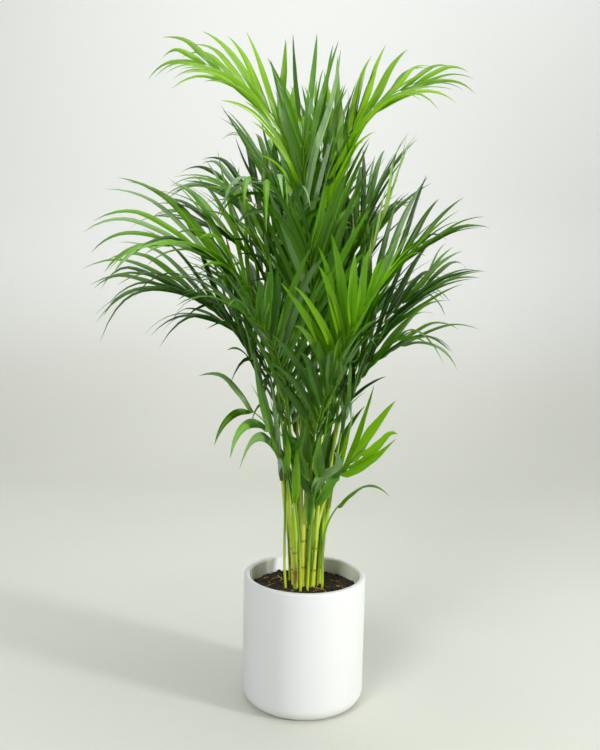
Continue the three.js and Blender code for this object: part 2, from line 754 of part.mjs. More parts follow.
/** Leaflets that still cross something, the most entangled first, are left out. */
function withoutCrossings(leaflets, solids, folded, others) {
  const boxes = solids.map((solid) => solid.boundingBox());
  const apart = (a, b) => [0, 1, 2].some((k) => a.min[k] > b.max[k] || b.min[k] > a.max[k]);
  const cross = (a, b) => a.intersect(b).volume() > TOUCH;
  const out = new Set(folded);
  for (const solid of others) {
    const box = solid.boundingBox();
    leaflets.forEach((leaflet, i) => {
      if (!out.has(i) && !apart(box, boxes[i]) && cross(solid, solids[i])) out.add(i);
    });
  }
  const crossings = leaflets.map(() => new Set());
  for (let i = 0; i < leaflets.length; i += 1) {
    for (let j = i + 1; j < leaflets.length; j += 1) {
      if (out.has(i) || out.has(j) || apart(boxes[i], boxes[j])) continue;
      if (cross(solids[i], solids[j])) {
        crossings[i].add(j);
        crossings[j].add(i);
      }
    }
  }
  for (;;) {
    const worst = crossings.reduce((best, set, i) => (set.size > crossings[best].size ? i : best), 0);
    if (crossings[worst].size === 0) return out;
    out.add(worst);
    crossings[worst].forEach((j) => crossings[j].delete(worst));
    crossings[worst].clear();
  }
}

// ---------------------------------------------------------------- the palm

const palm = new THREE.Group();

function place(name, geometry, material) {
  const mesh = new THREE.Mesh(geometry, material);
  mesh.name = name;
  palm.add(mesh);
}

const angles = stalkAngles();
const curves = FRONDS.map((frond) => midribCurve(frond, angles));
const rods = FRONDS.map((frond, i) => rodRings(frond, curves[i]));
const leaflets = FRONDS.flatMap((frond, i) => leafletsOf(frond, i, curves[i]));
const ribs = curves.flatMap((curve, frond) => Array.from({ length: RIB_STEPS }, (_, i) => ({
  frond,
  from: curve.getPoint(i / RIB_STEPS),
  to: curve.getPoint((i + 1) / RIB_STEPS),
  radius: stalkRadius(i / RIB_STEPS, FRONDS[frond].bare),
})));
bendClear(leaflets, ribs);

const canes = Object.entries(CANES).map(([number, row]) => ({
  name: `cane_${number.padStart(2, '0')}`, row,
}));
const skins = leaflets.map((leaflet) => {
  const { rings, below } = rods[leaflet.frond];
  return leafletGeometry(leaflet, rings, below);
});
const folded = new Set(leaflets.keys().filter((k) => foldsThroughItself(skins[k])));
const blades = skins.map((geometry) => solidOf(geometry));
const left = withoutCrossings(leaflets, blades, folded, [
  ...rods.map(({ rings }) => solidOf(skin(rings))),
  ...canes.map(({ row }) => solidOf(caneGeometry(row, GAP))),
]);

place('pot', potGeometry(), paint(0xf1f1ee, 0.5));
const holes = canes.map(({ row }) => caneGeometry(row, 1.3 * GAP));
FRONDS.forEach((frond, i) => {
  if (frond.cane === 0) holes.push(skin(rodRings(frond, curves[i], 2 * GAP).rings));
});
place('soil', soilGeometry(holes), paint(0x33261a, 0.95));
place('label', labelGeometry(), paint(0xeef1f4, 0.5));
canes.forEach(({ name, row }) => place(name, caneGeometry(row), paint(0xa9b94c, 0.45)));
FRONDS.forEach(({ name, brightness }, i) => {
  const { rings, below } = rods[i];
  const own = leaflets.filter((leaflet, k) => leaflet.frond === i && !left.has(k));
  place(`frond_${name}`, frondGeometry(rings, below, own), leafPaint(brightness));
});

export default palm;
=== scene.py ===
"""A potted areca palm: white planter, moist soil, a clump of canes and 32 arching fronds.

Metres, +Z up, with the origin at the middle of the planter's flat underside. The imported
model gives every place: each cane, stalk and leaflet is read from its own node, and a finer
surface is grown along it.
"""
import json
import logging
import math
from dataclasses import dataclass, field, replace
from enum import Enum
from typing import Any, Sequence

import bmesh
import bpy
import numpy as np
from mathutils import Euler, Matrix, Vector

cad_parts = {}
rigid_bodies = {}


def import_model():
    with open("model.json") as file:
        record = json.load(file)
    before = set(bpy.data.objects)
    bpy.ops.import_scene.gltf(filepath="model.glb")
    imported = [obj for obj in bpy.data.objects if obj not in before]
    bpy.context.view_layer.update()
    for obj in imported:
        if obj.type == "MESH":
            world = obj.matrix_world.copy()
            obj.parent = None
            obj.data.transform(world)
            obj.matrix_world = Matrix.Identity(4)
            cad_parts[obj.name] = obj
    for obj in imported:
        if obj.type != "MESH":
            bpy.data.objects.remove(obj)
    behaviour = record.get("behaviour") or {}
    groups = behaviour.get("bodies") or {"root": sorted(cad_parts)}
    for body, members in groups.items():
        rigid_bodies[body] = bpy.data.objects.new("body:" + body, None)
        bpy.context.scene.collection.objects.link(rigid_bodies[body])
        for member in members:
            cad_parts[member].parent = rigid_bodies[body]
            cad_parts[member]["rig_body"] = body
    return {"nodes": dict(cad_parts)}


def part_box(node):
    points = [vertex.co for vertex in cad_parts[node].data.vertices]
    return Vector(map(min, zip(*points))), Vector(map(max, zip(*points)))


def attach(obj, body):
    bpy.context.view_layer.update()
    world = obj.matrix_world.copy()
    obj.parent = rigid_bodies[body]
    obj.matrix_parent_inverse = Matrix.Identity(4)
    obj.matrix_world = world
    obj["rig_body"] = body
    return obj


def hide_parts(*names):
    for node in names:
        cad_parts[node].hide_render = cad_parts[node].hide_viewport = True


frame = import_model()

log = logging.getLogger("palm")
BODY = "root"
TURN = 2.0 * math.pi
UP = np.array([0.0, 0.0, 1.0])
LEVEL = np.array([1.0, 1.0, 0.0])  # times a place, drops it onto Z = 0
MERGE = 1e-5  # points of a node that are nearer than this are one point
CORNERS = 3  # corners of each section of a packed frond
WAVES = 4  # plane waves in each octave of a ripple
SOIL_EDGE = 0.257  # height of the soil at the planter's wall
SOIL_CROWN = 0.269  # height of the soil in the middle

# Seeds of the draws. A frond's and a cane's number are added to theirs.
CLOD_SEED = 7
LUMP_SEED = 8
CRUMB_SEED = 21
STRAW_SEED = 31
STRIP_SEED = 41
SHOOT_SEED = 51
YOUNG_SEED = 61
FROND_SEED = 100
CANE_SEED = 300

Array = np.ndarray
Colour = tuple[float, float, float]
Place = tuple[float, float, float]
Span = tuple[float, float]


class Slot(Enum):
    """Material slots of the record."""

    POT = "pot"
    SOIL = "soil"
    LABEL = "label"
    CANE = "cane"
    LEAF = "leaf_green"
    BRIGHT_LEAF = "leaf_bright"
    NEW_LEAF = "leaf_new"


# ---------------------------------------------------------------- arithmetic on arrays


def unit(vectors: Array) -> Array:
    """Vectors scaled to length one along the last axis."""
    return vectors / np.maximum(np.linalg.norm(vectors, axis=-1, keepdims=True), 1e-12)


def across(vectors: Array, axes: Array) -> Array:
    """The part of each vector at right angles to its unit axis, made one long."""
    return unit(vectors - axes * np.sum(vectors * axes, axis=-1, keepdims=True))


def smooth(x: Array) -> Array:
    """Ease from 0 to 1: three x squared less two x cubed, held at both ends."""
    x = np.clip(x, 0.0, 1.0)
    return x * x * (3.0 - 2.0 * x)


def round_angles(count: int) -> Array:
    """Angles of points spread evenly round a circle, from 0."""
    return np.arange(count) * TURN / count


def spokes(angles: Array) -> Array:
    """Level directions at angles from the X axis, with x, y and z on a new last axis."""
    return np.stack([np.cos(angles), np.sin(angles), np.zeros_like(angles)], axis=-1)


def turned(angles: Array, first: Array, second: Array) -> Array:
    """For each pair of axes, the directions at angles from the first to the second."""
    return np.cos(angles)[:, None] * first[:, None] + np.sin(angles)[:, None] * second[:, None]


def ripple(places: Array, wave: float, seed: int, octaves: int = 3) -> Array:
    """Smooth repeatable noise, roughly from -1 to 1.

    A sum of sines: each octave adds a few plane waves of drawn direction and phase, with half
    the wavelength and half the height of the octave before.

    Args:
        places: Points, with their coordinates on the last axis.
        wave: Longest wavelength.
        seed: Seed of the drawn directions and phases.
        octaves: Number of octaves.

    Returns:
        One value for each point.
    """
    rng = np.random.default_rng(seed)
    total = np.zeros(places.shape[:-1])
    for octave in range(octaves):
        ways = unit(rng.normal(size=(WAVES, places.shape[-1]))) * TURN / (wave * 0.5**octave)
        phases = rng.uniform(0.0, TURN, WAVES)
        total += 0.5**octave * np.sin(places @ ways.T + phases).mean(axis=-1)
    return total


@dataclass
class Path:
    """Smooth curves through rows of points.

    Each row is followed by cubic Hermite pieces. The slope at a point is the central
    difference over arc length, and at an end the slope of the parabola there.

    Attributes:
        points: Points of each curve, shape (curves, points, 3).
    """

    points: Array

    def __post_init__(self) -> None:
        """Works out arc lengths, shares and slopes."""
        steps = np.linalg.norm(np.diff(self.points, axis=1), axis=2)
        arc = np.concatenate([np.zeros((len(steps), 1)), np.cumsum(steps, axis=1)], axis=1)
        self.length = arc[:, -1]
        self.shares = arc / self.length[:, None]
        gaps = np.diff(self.shares, axis=1)[..., None]
        rates = np.diff(self.points, axis=1) / gaps
        inner = (rates[:, :-1] * gaps[:, 1:] + rates[:, 1:] * gaps[:, :-1])
        inner = inner / (gaps[:, 1:] + gaps[:, :-1])
        first = 2.0 * rates[:, :1] - inner[:, :1]
        last = 2.0 * rates[:, -1:] - inner[:, -1:]
        self.slopes = np.concatenate([first, inner, last], axis=1)

    def at(self, shares: Array) -> tuple[Array, Array]:
        """Places and unit tangents at shares of the length.

        Args:
            shares: Values from 0 to 1, shape (curves, stations).

        Returns:
            Two arrays of shape (curves, stations, 3).
        """
        inside = (shares[:, :, None] >= self.shares[:, None, 1:-1]).sum(axis=2)
        row = np.arange(len(shares))[:, None]
        gap = self.shares[row, inside + 1] - self.shares[row, inside]
        t = ((shares - self.shares[row, inside]) / gap)[..., None]
        gap = gap[..., None]
        p, q = self.points[row, inside], self.points[row, inside + 1]
        m, n = self.slopes[row, inside] * gap, self.slopes[row, inside + 1] * gap
        t2, t3 = t * t, t * t * t
        places = (2 * t3 - 3 * t2 + 1) * p + (t3 - 2 * t2 + t) * m
        places = places + (3 * t2 - 2 * t3) * q + (t3 - t2) * n
        tangents = 6 * (t2 - t) * (p - q) + (3 * t2 - 4 * t + 1) * m + (3 * t2 - 2 * t) * n
        return places, unit(tangents)


# ---------------------------------------------------------------- meshes


@dataclass
class Patch:
    """Part of a mesh: points, faces of one size, and values at the points.

    Attributes:
        points: Shape (n, 3).
        faces: Point numbers of each face, shape (m, corners).
        values: Named values, one for each point.
        material: Number of the material slot.
    """

    points: Array
    faces: list[Array]
    values: dict[str, Array] = field(default_factory=dict)
    material: int = 0


def grid_faces(rows: int, columns: int, closed: bool = True) -> Array:
    """Four-cornered faces of a grid whose points are numbered row by row.

    Args:
        rows: Number of rows of points.
        columns: Number of points in a row.
        closed: Whether the last column joins the first.

    Returns:
        Point numbers, shape (faces, 4).
    """
    i, j = np.meshgrid(np.arange(rows - 1), np.arange(columns - (not closed)), indexing="ij")
    here, beside = i * columns + j, i * columns + (j + 1) % columns
    return np.stack([here, beside, beside + columns, here + columns], axis=-1).reshape(-1, 4)


def tube_faces(rows: int, columns: int) -> list[Array]:
    """Faces of a closed tube: its wall and a flat cap at each end."""
    ring = np.arange(columns)
    return [grid_faces(rows, columns), ring[None, ::-1], ring[None] + (rows - 1) * columns]


def repeated(faces: list[Array], copies: int, stride: int) -> list[Array]:
    """The same faces on many blocks of points, each block stride points long."""
    shift = (np.arange(copies) * stride)[:, None, None]
    return [(block[None] + shift).reshape(-1, block.shape[1]) for block in faces]


def tubes(points: Array, material: int = 0, **values: Any) -> Patch:
    """Closed tubes through rings of points.

    Args:
        points: Shape (tubes, rings, sides, 3), or for one tube (rings, sides, 3).
        material: Number of the material slot.
        **values: Named values, stretched over the points.

    Returns:
        The patch.
    """
    shape = points.shape[:-1]
    rings, sides = shape[-2:]
    stride = rings * sides
    flat = points.reshape(-1, 3)
    faces = repeated(tube_faces(rings, sides), len(flat) // stride, stride)
    stretched = {key: np.broadcast_to(value, shape).ravel() for key, value in values.items()}
    return Patch(flat, faces, stretched, material)


def thin_tubes(lines: Array, radii: Array, sides: int, material: int = 0) -> Patch:
    """Thin tubes with level rings, one along each line.

    Args:
        lines: Middle of each ring, shape (n, rings, 3).
        radii: Radius of each ring, shape (n, rings).
        sides: Points round a ring.
        material: Number of the material slot.

    Returns:
        The patch, with values for its finish.
    """
    angle = round_angles(sides)
    along = np.linspace(0.0, 1.0, radii.shape[1])[:, None]
    points = lines[:, :, None] + radii[:, :, None, None] * spokes(angle)
    return tubes(points, material=material, along=along, side=np.cos(angle))


def build(name: str, patches: Sequence[Patch], materials: Sequence[Any], crease: float) -> Any:
    """Joins patches into one object at the origin.

    Args:
        name: Name of the object.
        patches: Parts of the mesh.
        materials: Materials, in the order of the slot numbers.
        crease: Angle in degrees past which an edge is drawn sharp.

    Returns:
        The new object, in the scene.
    """
    starts = np.cumsum([0] + [len(patch.points) for patch in patches])
    points = np.concatenate([patch.points for patch in patches])
    blocks = [
        (block + start, patch.material)
        for patch, start in zip(patches, starts)
        for block in patch.faces
    ]
    corners = np.concatenate([block.ravel() for block, _ in blocks])
    sizes = np.concatenate([np.full(len(block), block.shape[1]) for block, _ in blocks])
    slots = np.concatenate([np.full(len(block), slot) for block, slot in blocks])
    mesh = bpy.data.meshes.new(name)
    mesh.vertices.add(len(points))
    mesh.vertices.foreach_set("co", points.astype(np.float32).ravel())
    mesh.loops.add(len(corners))
    mesh.loops.foreach_set("vertex_index", corners.astype(np.int32))
    mesh.polygons.add(len(sizes))
    mesh.polygons.foreach_set("loop_start", (np.cumsum(sizes) - sizes).astype(np.int32))
    mesh.polygons.foreach_set("material_index", slots.astype(np.int32))
    mesh.update(calc_edges=True)
    for key in sorted({key for patch in patches for key in patch.values}):
        values = [patch.values.get(key, np.zeros(len(patch.points))) for patch in patches]
        attribute = mesh.attributes.new(key, "FLOAT", "POINT")
        attribute.data.foreach_set("value", np.concatenate(values).astype(np.float32))
    mesh.validate()
    mesh.shade_smooth()
    mesh.set_sharp_from_angle(angle=math.radians(crease))
    for material in materials:
        mesh.materials.append(material)
    piece = bpy.data.objects.new(name, mesh)
    bpy.context.scene.collection.objects.link(piece)
    return piece


def finish_piece(piece: Any, nodes: Sequence[str]) -> None:
    """Makes a piece ride on the body and stand for its nodes.

    Args:
        piece: The piece.
        nodes: Names of the nodes that it stands for.
    """
    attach(piece, BODY)
    if nodes:
        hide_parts(*nodes)
    log.info("%s: %d faces for %s", piece.name, len(piece.data.polygons), ", ".join(nodes))


# ---------------------------------------------------------------- shader expressions


class Value:
    """A shader socket that takes part in Python sums, adding a Math node for each one."""

    def __init__(self, graph: "Graph", socket: Any) -> None:
        """Keeps the graph and the output socket."""
        self.graph = graph
        self.socket = socket

    def __add__(self, other: Any) -> "Value":
        """Sum."""
        return self.graph.maths("ADD", self, other)

    def __sub__(self, other: Any) -> "Value":
        """Difference."""
        return self.graph.maths("SUBTRACT", self, other)

    def __mul__(self, other: Any) -> "Value":
        """Product."""
        return self.graph.maths("MULTIPLY", self, other)

    def __radd__(self, other: Any) -> "Value":
        """Sum with a number on the left."""
        return self.graph.maths("ADD", other, self)

    def __rsub__(self, other: Any) -> "Value":
        """Difference from a number on the left."""
        return self.graph.maths("SUBTRACT", other, self)

    def __rmul__(self, other: Any) -> "Value":
        """Product with a number on the left."""
        return self.graph.maths("MULTIPLY", other, self)


class Graph:
    """The node tree of one material, emptied and ready to fill."""

    def __init__(self, name: str) -> None:
        """Makes the material and empties its node tree.

        Args:
            name: Name of the material.
        """
        self.material = bpy.data.materials.new(name)
        self.material.use_nodes = True
        self.tree = self.material.node_tree
        self.tree.nodes.clear()

    def node(self, kind: str, settings: dict[str, Any] | None = None, **sockets: Any) -> Any:
        """Adds a node.

        Args:
            kind: Type of the node, without its ShaderNode prefix.
            settings: Properties, set first.
            **sockets: Values or links by input name, with _ for a space, or i and a number.

        Returns:
            The node.
        """
        made = self.tree.nodes.new("ShaderNode" + kind)
        for key, value in (settings or {}).items():
            setattr(made, key, value)
        for key, value in sockets.items():
            number = key[1:]
            target = made.inputs[int(number) if number.isdigit() else key.replace("_", " ")]
            self.feed(target, value)
        return made

    def feed(self, target: Any, value: Any) -> None:
        """Links a socket to an input, or sets the input's own value.

        Args:
            target: The input.
            value: Value, socket, colour, number or vector.
        """
        if isinstance(value, Value):
            value = value.socket
        if isinstance(value, bpy.types.NodeSocket):
            self.tree.links.new(value, target)
        elif isinstance(value, tuple) and len(value) == 3 and target.type == "RGBA":
            target.default_value = (*value, 1.0)
        else:
            target.default_value = value

    def maths(self, operation: str, *terms: Any) -> Value:
        """A Math node."""
        sockets = {f"i{i}": term for i, term in enumerate(terms)}
        return Value(self, self.node("Math", {"operation": operation}, **sockets).outputs[0])

    def attribute(self, name: str) -> Value:
        """A value kept at the mesh's points."""
        return Value(self, self.node("Attribute", {"attribute_name": name}).outputs["Fac"])

    def attributes(self, *names: str) -> list[Value]:
        """Several values kept at the mesh's points."""
        return [self.attribute(name) for name in names]

    def place(self, scale: Sequence[float] = (1.0, 1.0, 1.0)) -> Any:
        """Object coordinates, stretched along each axis."""
        where = self.node("TexCoord").outputs["Object"]
        return self.node("Mapping", i0=where, i3=tuple(scale)).outputs[0]

    def vector(self, x: Any, y: Any, z: Any) -> Any:
        """Three values as one vector."""
        return self.node("CombineXYZ", i0=x, i1=y, i2=z).outputs[0]

    def height(self, where: Any) -> Any:
        """The third coordinate."""
        return self.node("SeparateXYZ", i0=where).outputs[2]

    def noise(
        self, where: Any, scale: float = 1.0, detail: float = 3.0, rough: float = 0.5
    ) -> Value:
        """Noise from 0 to 1."""
        made = self.node("TexNoise", Vector=where, Scale=scale, Detail=detail, Roughness=rough)
        return Value(self, made.outputs[0])

    def cells(self, where: Any, scale: float) -> Value:
        """Distance to the nearest of many scattered points."""
        return Value(self, self.node("TexVoronoi", Vector=where, Scale=scale).outputs["Distance"])

    def band(self, value: Any, low: float, high: float) -> Value:
        """Smooth step: 0 at low, 1 at high. Low may be the greater.

        Args:
            value: Value that is read.
            low: Where the step is 0.
            high: Where it is 1.

        Returns:
            The step.
        """
        settings = {"interpolation_type": "SMOOTHSTEP"}
        made = self.node("MapRange", settings, Value=value, From_Min=low, From_Max=high)
        return Value(self, made.outputs[0])

    def blend(self, factor: Any, first: Any, second: Any) -> Any:
        """A colour between two, by the colour sockets of a Mix node."""
        settings = {"data_type": "RGBA"}
        return self.node("Mix", settings, i0=factor, i6=first, i7=second).outputs[2]

    def ramp(self, value: Value, stops: Sequence[tuple[float, Colour]]) -> Any:
        """A colour read from a ramp of two stops.

        Args:
            value: Value that is read.
            stops: Place and colour of the two stops.

        Returns:
            Socket of the colour.
        """
        made = self.node("ValToRGB", Fac=value)
        for element, (place, colour) in zip(made.color_ramp.elements, stops):
            element.position = place
            element.color = (*colour, 1.0)
        return made.outputs[0]

    def bump(self, height: Value, strength: float, distance: float) -> Any:
        """A normal bent by a height."""
        made = self.node("Bump", Height=height, Strength=strength, Distance=distance)
        return made.outputs[0]

    def principled(self, **sockets: Any) -> Any:
        """The surface shader."""
        return self.node("BsdfPrincipled", **sockets).outputs[0]

    def plain(self, colour: Any, rough: Any, normal: Any) -> Any:
        """Ends the material with a plain surface of a colour, a roughness and a normal."""
        return self.finish(self.principled(Base_Color=colour, Roughness=rough, Normal=normal))

    def finish(self, shader: Any) -> Any:
        """Links the surface and returns the material."""
        self.node("OutputMaterial", Surface=shader)
        return self.material


# ---------------------------------------------------------------- finishes


def srgb(red: int, green: int, blue: int) -> Colour:
    """A colour of the screen, 0 to 255, as linear light.

    A channel c becomes ((c + 0.055) / 1.055) to the power 2.4, or c / 12.92 near black.
    """
    channels = [value / 255.0 for value in (red, green, blue)]
    return tuple(((c + 0.055) / 1.055) ** 2.4 if c > 0.04 else c / 12.92 for c in channels)


@dataclass(frozen=True)
class LeafFinish:
    """Leaflet: green with fine veins, paler below, lit through.

    Attributes:
        name: Name of the material.
        old: Colour of the darkest leaflets.
        young: Colour of the palest leaflets.
        below: Colour of the underside.
        wax: Pale silvery colour on some leaflets: a painted sheen for light glinting on them.
        lit: Colour of the light that comes through.
        through: Share of the light that comes through.
        rough: Roughness of the upper face.
        root: Yellower colour at the root.
        rib: Pale colour of the midrib.
        scorch: Brown of a dry tip.
    """

    name: str
    old: Colour
    young: Colour
    below: Colour
    wax: Colour
    lit: Colour
    through: float
    rough: float
    root: Colour = srgb(150, 178, 60)
    rib: Colour = srgb(158, 190, 84)
    scorch: Colour = srgb(150, 116, 58)

    def material(self) -> Any:
        """Builds the material.

        Returns:
            The material.
        """
        g = Graph(self.name)
        tone, along, side, wax = g.attributes("tone", "along", "side", "wax")
        under = g.band(g.attribute("under"), 0.0, 0.25)
        patches = g.noise(g.place(), scale=22.0)
        colour = g.blend(tone, self.old, self.young)
        colour = g.blend((patches - 0.35) * 0.5, colour, self.old)
        colour = g.blend(g.band(along, 0.16, 0.0) * 0.55, colour, self.root)
        streaks = g.noise(g.vector(side * 30.0, along * 1.5, tone * 9.0), detail=2.0)
        colour = g.blend((streaks - 0.5) * 0.8 + 0.05, colour, self.young)
        rib = g.band(g.maths("ABSOLUTE", side), 0.09, 0.02)
        colour = g.blend(rib * 0.45, colour, self.rib)
        tip = g.band(along, 0.955, 1.0) * g.band(patches, 0.42, 0.56)
        colour = g.blend(tip * 0.8, colour, self.scorch)
        colour = g.blend(under * 0.6, colour, self.below)
        # Painted sheen: chosen leaflets turn pale silvery green, standing in for light glinting
        # off them.
        colour = g.blend(wax * (streaks * 0.5 + 0.5), colour, self.wax)
        veins = g.maths("SINE", side * 62.0 + patches * 5.0)
        height = veins * 0.35 + streaks * 0.8 + rib * 0.8
        rough = self.rough + (patches - 0.5) * 0.25 + under * 0.1
        normal = g.bump(height, strength=0.35, distance=0.0006)
        surface = g.principled(
            Base_Color=colour, Roughness=rough, Normal=normal, IOR=1.36,
            Coat_Weight=0.4, Coat_Roughness=0.16,
        )
        light = g.node("BsdfTranslucent", Color=self.lit, Normal=normal).outputs[0]
        factor = self.through * (1.0 - rib * 0.5)
        return g.finish(g.node("MixShader", i0=factor, i1=surface, i2=light).outputs[0])


@dataclass(frozen=True)
class StalkFinish:
    """Stalk and midrib: waxy, yellow at the foot and green above, with long fine lines.

    Attributes:
        name: Name of the material.
        foot: Colour at the foot.
        top: Colour at the tip.
        line: Pale colour of the lines.
        spot: Dark colour of the blotches.
    """

    name: str
    foot: Colour
    top: Colour
    line: Colour = srgb(196, 206, 104)
    spot: Colour = srgb(96, 124, 40)

    def material(self) -> Any:
        """Builds the material.

        Returns:
            The material.
        """
        g = Graph(self.name)
        along, side = g.attributes("along", "side")
        lines = g.noise(g.vector(side * 26.0, along * 5.0, 0.0), detail=2.0)
        blotch = g.noise(g.place((1.0, 1.0, 0.35)), scale=60.0)
        colour = g.blend(g.band(along, 0.04, 0.5), self.foot, self.top)
        colour = g.blend((lines - 0.4) * 0.7, colour, self.line)
        colour = g.blend(g.band(blotch, 0.56, 0.72) * 0.35, colour, self.spot)
        normal = g.bump(lines, strength=0.3, distance=0.0006)
        return g.plain(colour, 0.36 + blotch * 0.2, normal)


@dataclass(frozen=True)
class CaneFinish:
    """Cane: yellow-green and waxy, with brown ring scars and dry husk towards the soil.

    Attributes:
        name: Name of the material.
        green: Colour of the greener canes.
        yellow: Colour of the yellower canes.
        scar: Colour of the ring scars.
        husk: Colour of the dry husk.
        bloom: Pale colour of the waxy bloom.
        grain: Dark colour of the grain.
    """

    name: str
    green: Colour
    yellow: Colour
    scar: Colour
    husk: Colour
    bloom: Colour = srgb(208, 212, 138)
    grain: Colour = srgb(120, 132, 44)

    def material(self) -> Any:
        """Builds the material.

        Returns:
            The material.
        """
        g = Graph(self.name)
        tone, scar, along, side = g.attributes("tone", "scar", "along", "side")
        where = g.vector(side * 22.0, along * 14.0, tone * 7.0)
        grain = g.noise(where, detail=4.0, rough=0.6)
        bloom = g.noise(g.place((1.0, 1.0, 0.5)), scale=45.0, detail=4.0)
        colour = g.blend(tone, self.green, self.yellow)
        colour = g.blend(g.band(along, 0.35, 1.0) * 0.45, colour, self.green)
        colour = g.blend(g.band(bloom, 0.45, 0.75) * 0.5, colour, self.bloom)
        colour = g.blend(g.band(grain, 0.55, 0.8) * 0.5, colour, self.grain)
        colour = g.blend(scar * 0.85, colour, self.scar)
        dry = g.band(along, 0.2, 0.0) * g.band(grain, 0.48, 0.68)
        colour = g.blend(dry * 0.7, colour, self.husk)
        normal = g.bump(grain * 0.7 + scar * 0.4, strength=0.5, distance=0.001)
        return g.plain(colour, 0.42 + grain * 0.25 + dry * 0.3, normal)


@dataclass(frozen=True)
class HuskFinish:
    """Dry sheath, straw and fibre: papery, with long streaks.

    Attributes:
        name: Name of the material.
        dark: Colour of the streaks.
        pale: Colour between them.
    """

    name: str
    dark: Colour
    pale: Colour

    def material(self) -> Any:
        """Builds the material.

        Returns:
            The material.
        """
        g = Graph(self.name)
        streaks = g.noise(g.place((260.0, 260.0, 30.0)))
        spots = g.noise(g.place(), scale=160.0, detail=2.0)
        colour = g.ramp(streaks, [(0.32, self.dark), (0.66, self.pale)])
        colour = g.blend(g.band(spots, 0.55, 0.7) * 0.4, colour, self.dark)
        normal = g.bump(streaks, strength=0.6, distance=0.0008)
        return g.plain(colour, 0.75 + spots * 0.2, normal)


@dataclass(frozen=True)
class SoilFinish:
    """Moist potting soil: dark crumbs, brown fibres and a few pale grains.

    Attributes:
        name: Name of the material.
        wet: Colour of the hollows, darker than the clods: painted shade in the recesses over the
            soil's own dark brown.
        dry: Colour of the clods.
        grain: Colour of the pale grains.
    """

    name: str
    wet: Colour
    dry: Colour
    grain: Colour

    def material(self) -> Any:
        """Builds the material.

        Returns:
            The material.
        """
        g = Graph(self.name)
        where = g.place()
        clods = g.noise(where, scale=90.0, detail=6.0, rough=0.65)
        fine = g.noise(where, scale=520.0, detail=4.0, rough=0.7)
        pits = g.cells(where, scale=260.0)
        # Low places of the clods take the darker colour: painted shade in the hollows.
        colour = g.ramp(clods * 0.6 + fine * 0.4, [(0.36, self.wet), (0.66, self.dry)])
        near = g.cells(where, scale=150.0)
        grains = g.band(near, 0.13, 0.09) * g.band(clods, 0.5, 0.56)
        colour = g.blend(grains * 0.8, colour, self.grain)
        height = clods * 1.2 + fine * 0.7 - pits * 0.8 + grains * 0.5
        normal = g.bump(height, strength=0.9, distance=0.003)
        return g.plain(colour, 0.78 + fine * 0.25, normal)


@dataclass(frozen=True)
class GlazeFinish:
    """Planter: smooth white satin glaze with faint clouds, specks and dust at the foot.

    Attributes:
        name: Name of the material.
        white: Colour of the glaze.
        cloud: Colour of the thinner glaze.
        dust: Colour of the dust.
        inside: Paler colour of the wall inside: painted light that lifts the shaded inner wall.
        inner: Radius of that wall.
        seam: Width over which the one colour turns into the other.
    """

    name: str
    white: Colour
    cloud: Colour
    dust: Colour
    inside: Colour
    inner: float
    seam: float = 0.002

    def material(self) -> Any:
        """Builds the material.

        Returns:
            The material.
        """
        g = Graph(self.name)
        where = g.place()
        level = g.node("VectorMath", {"operation": "LENGTH"}, i0=g.place((1.0, 1.0, 0.0)))
        within = g.band(level.outputs["Value"], self.inner + self.seam, self.inner)
        clouds = g.noise(where, scale=9.0)
        pits = g.noise(where, scale=420.0, rough=0.6)
        near = g.cells(where, scale=120.0)
        specks = g.band(near, 0.085, 0.05) * g.band(clouds, 0.5, 0.62)
        foot = g.band(g.height(where), 0.03, 0.0)
        colour = g.blend(clouds * 0.35, self.white, self.cloud)
        # Painted light: the wall inside takes a colour paler than the glaze outside, so that it
        # looks lit.
        colour = g.blend(within, colour, self.inside)
        colour = g.blend(specks * 0.25, colour, self.dust)
        colour = g.blend(foot * g.band(pits, 0.4, 0.6) * 0.4, colour, self.dust)
        normal = g.bump(pits * 0.5 + clouds * 2.0, strength=0.12, distance=0.0006)
        return g.plain(colour, 0.36 + clouds * 0.16 + foot * 0.2, normal)


@dataclass(frozen=True)
class CardFinish:
    """Blank card: coated paper with a faint grain.

    Attributes:
        name: Name of the material.
        white: Colour of the face.
        shade: Colour of the grain.
    """

    name: str
    white: Colour
    shade: Colour

    def material(self) -> Any:
        """Builds the material.

        Returns:
            The material.
        """
        g = Graph(self.name)
        fibre = g.noise(g.place((1.0, 1.0, 2.2)), scale=900.0)
        stain = g.band(g.noise(g.place(), scale=55.0, detail=2.0), 0.55, 0.8)
        colour = g.blend(fibre * 0.3 + stain * 0.3, self.white, self.shade)
        normal = g.bump(fibre, strength=0.15, distance=0.0003)
        return g.plain(colour, 0.4 + fibre * 0.15, normal)


@dataclass(frozen=True)
class BackdropFinish:
    """Plain pale floor and wall.

    Attributes:
        name: Name of the material.
        wall: Colour of the wall.
        floor: Warmer colour of the floor.
        rough: Roughness of both.
    """

    name: str
    wall: Colour
    floor: Colour
    rough: float = 0.9

    def material(self) -> Any:
        """Builds the material.

        Returns:
            The material.
        """
        g = Graph(self.name)
        where = g.place()
        low = g.band(g.height(where), 1.3, 0.0)
        clouds = g.noise(where, scale=0.8, detail=2.0)
        colour = g.blend(low * (0.8 + clouds * 0.3), self.wall, self.floor)
        return g.finish(g.principled(Base_Color=colour, Roughness=self.rough))


# ---------------------------------------------------------------- what the frame holds


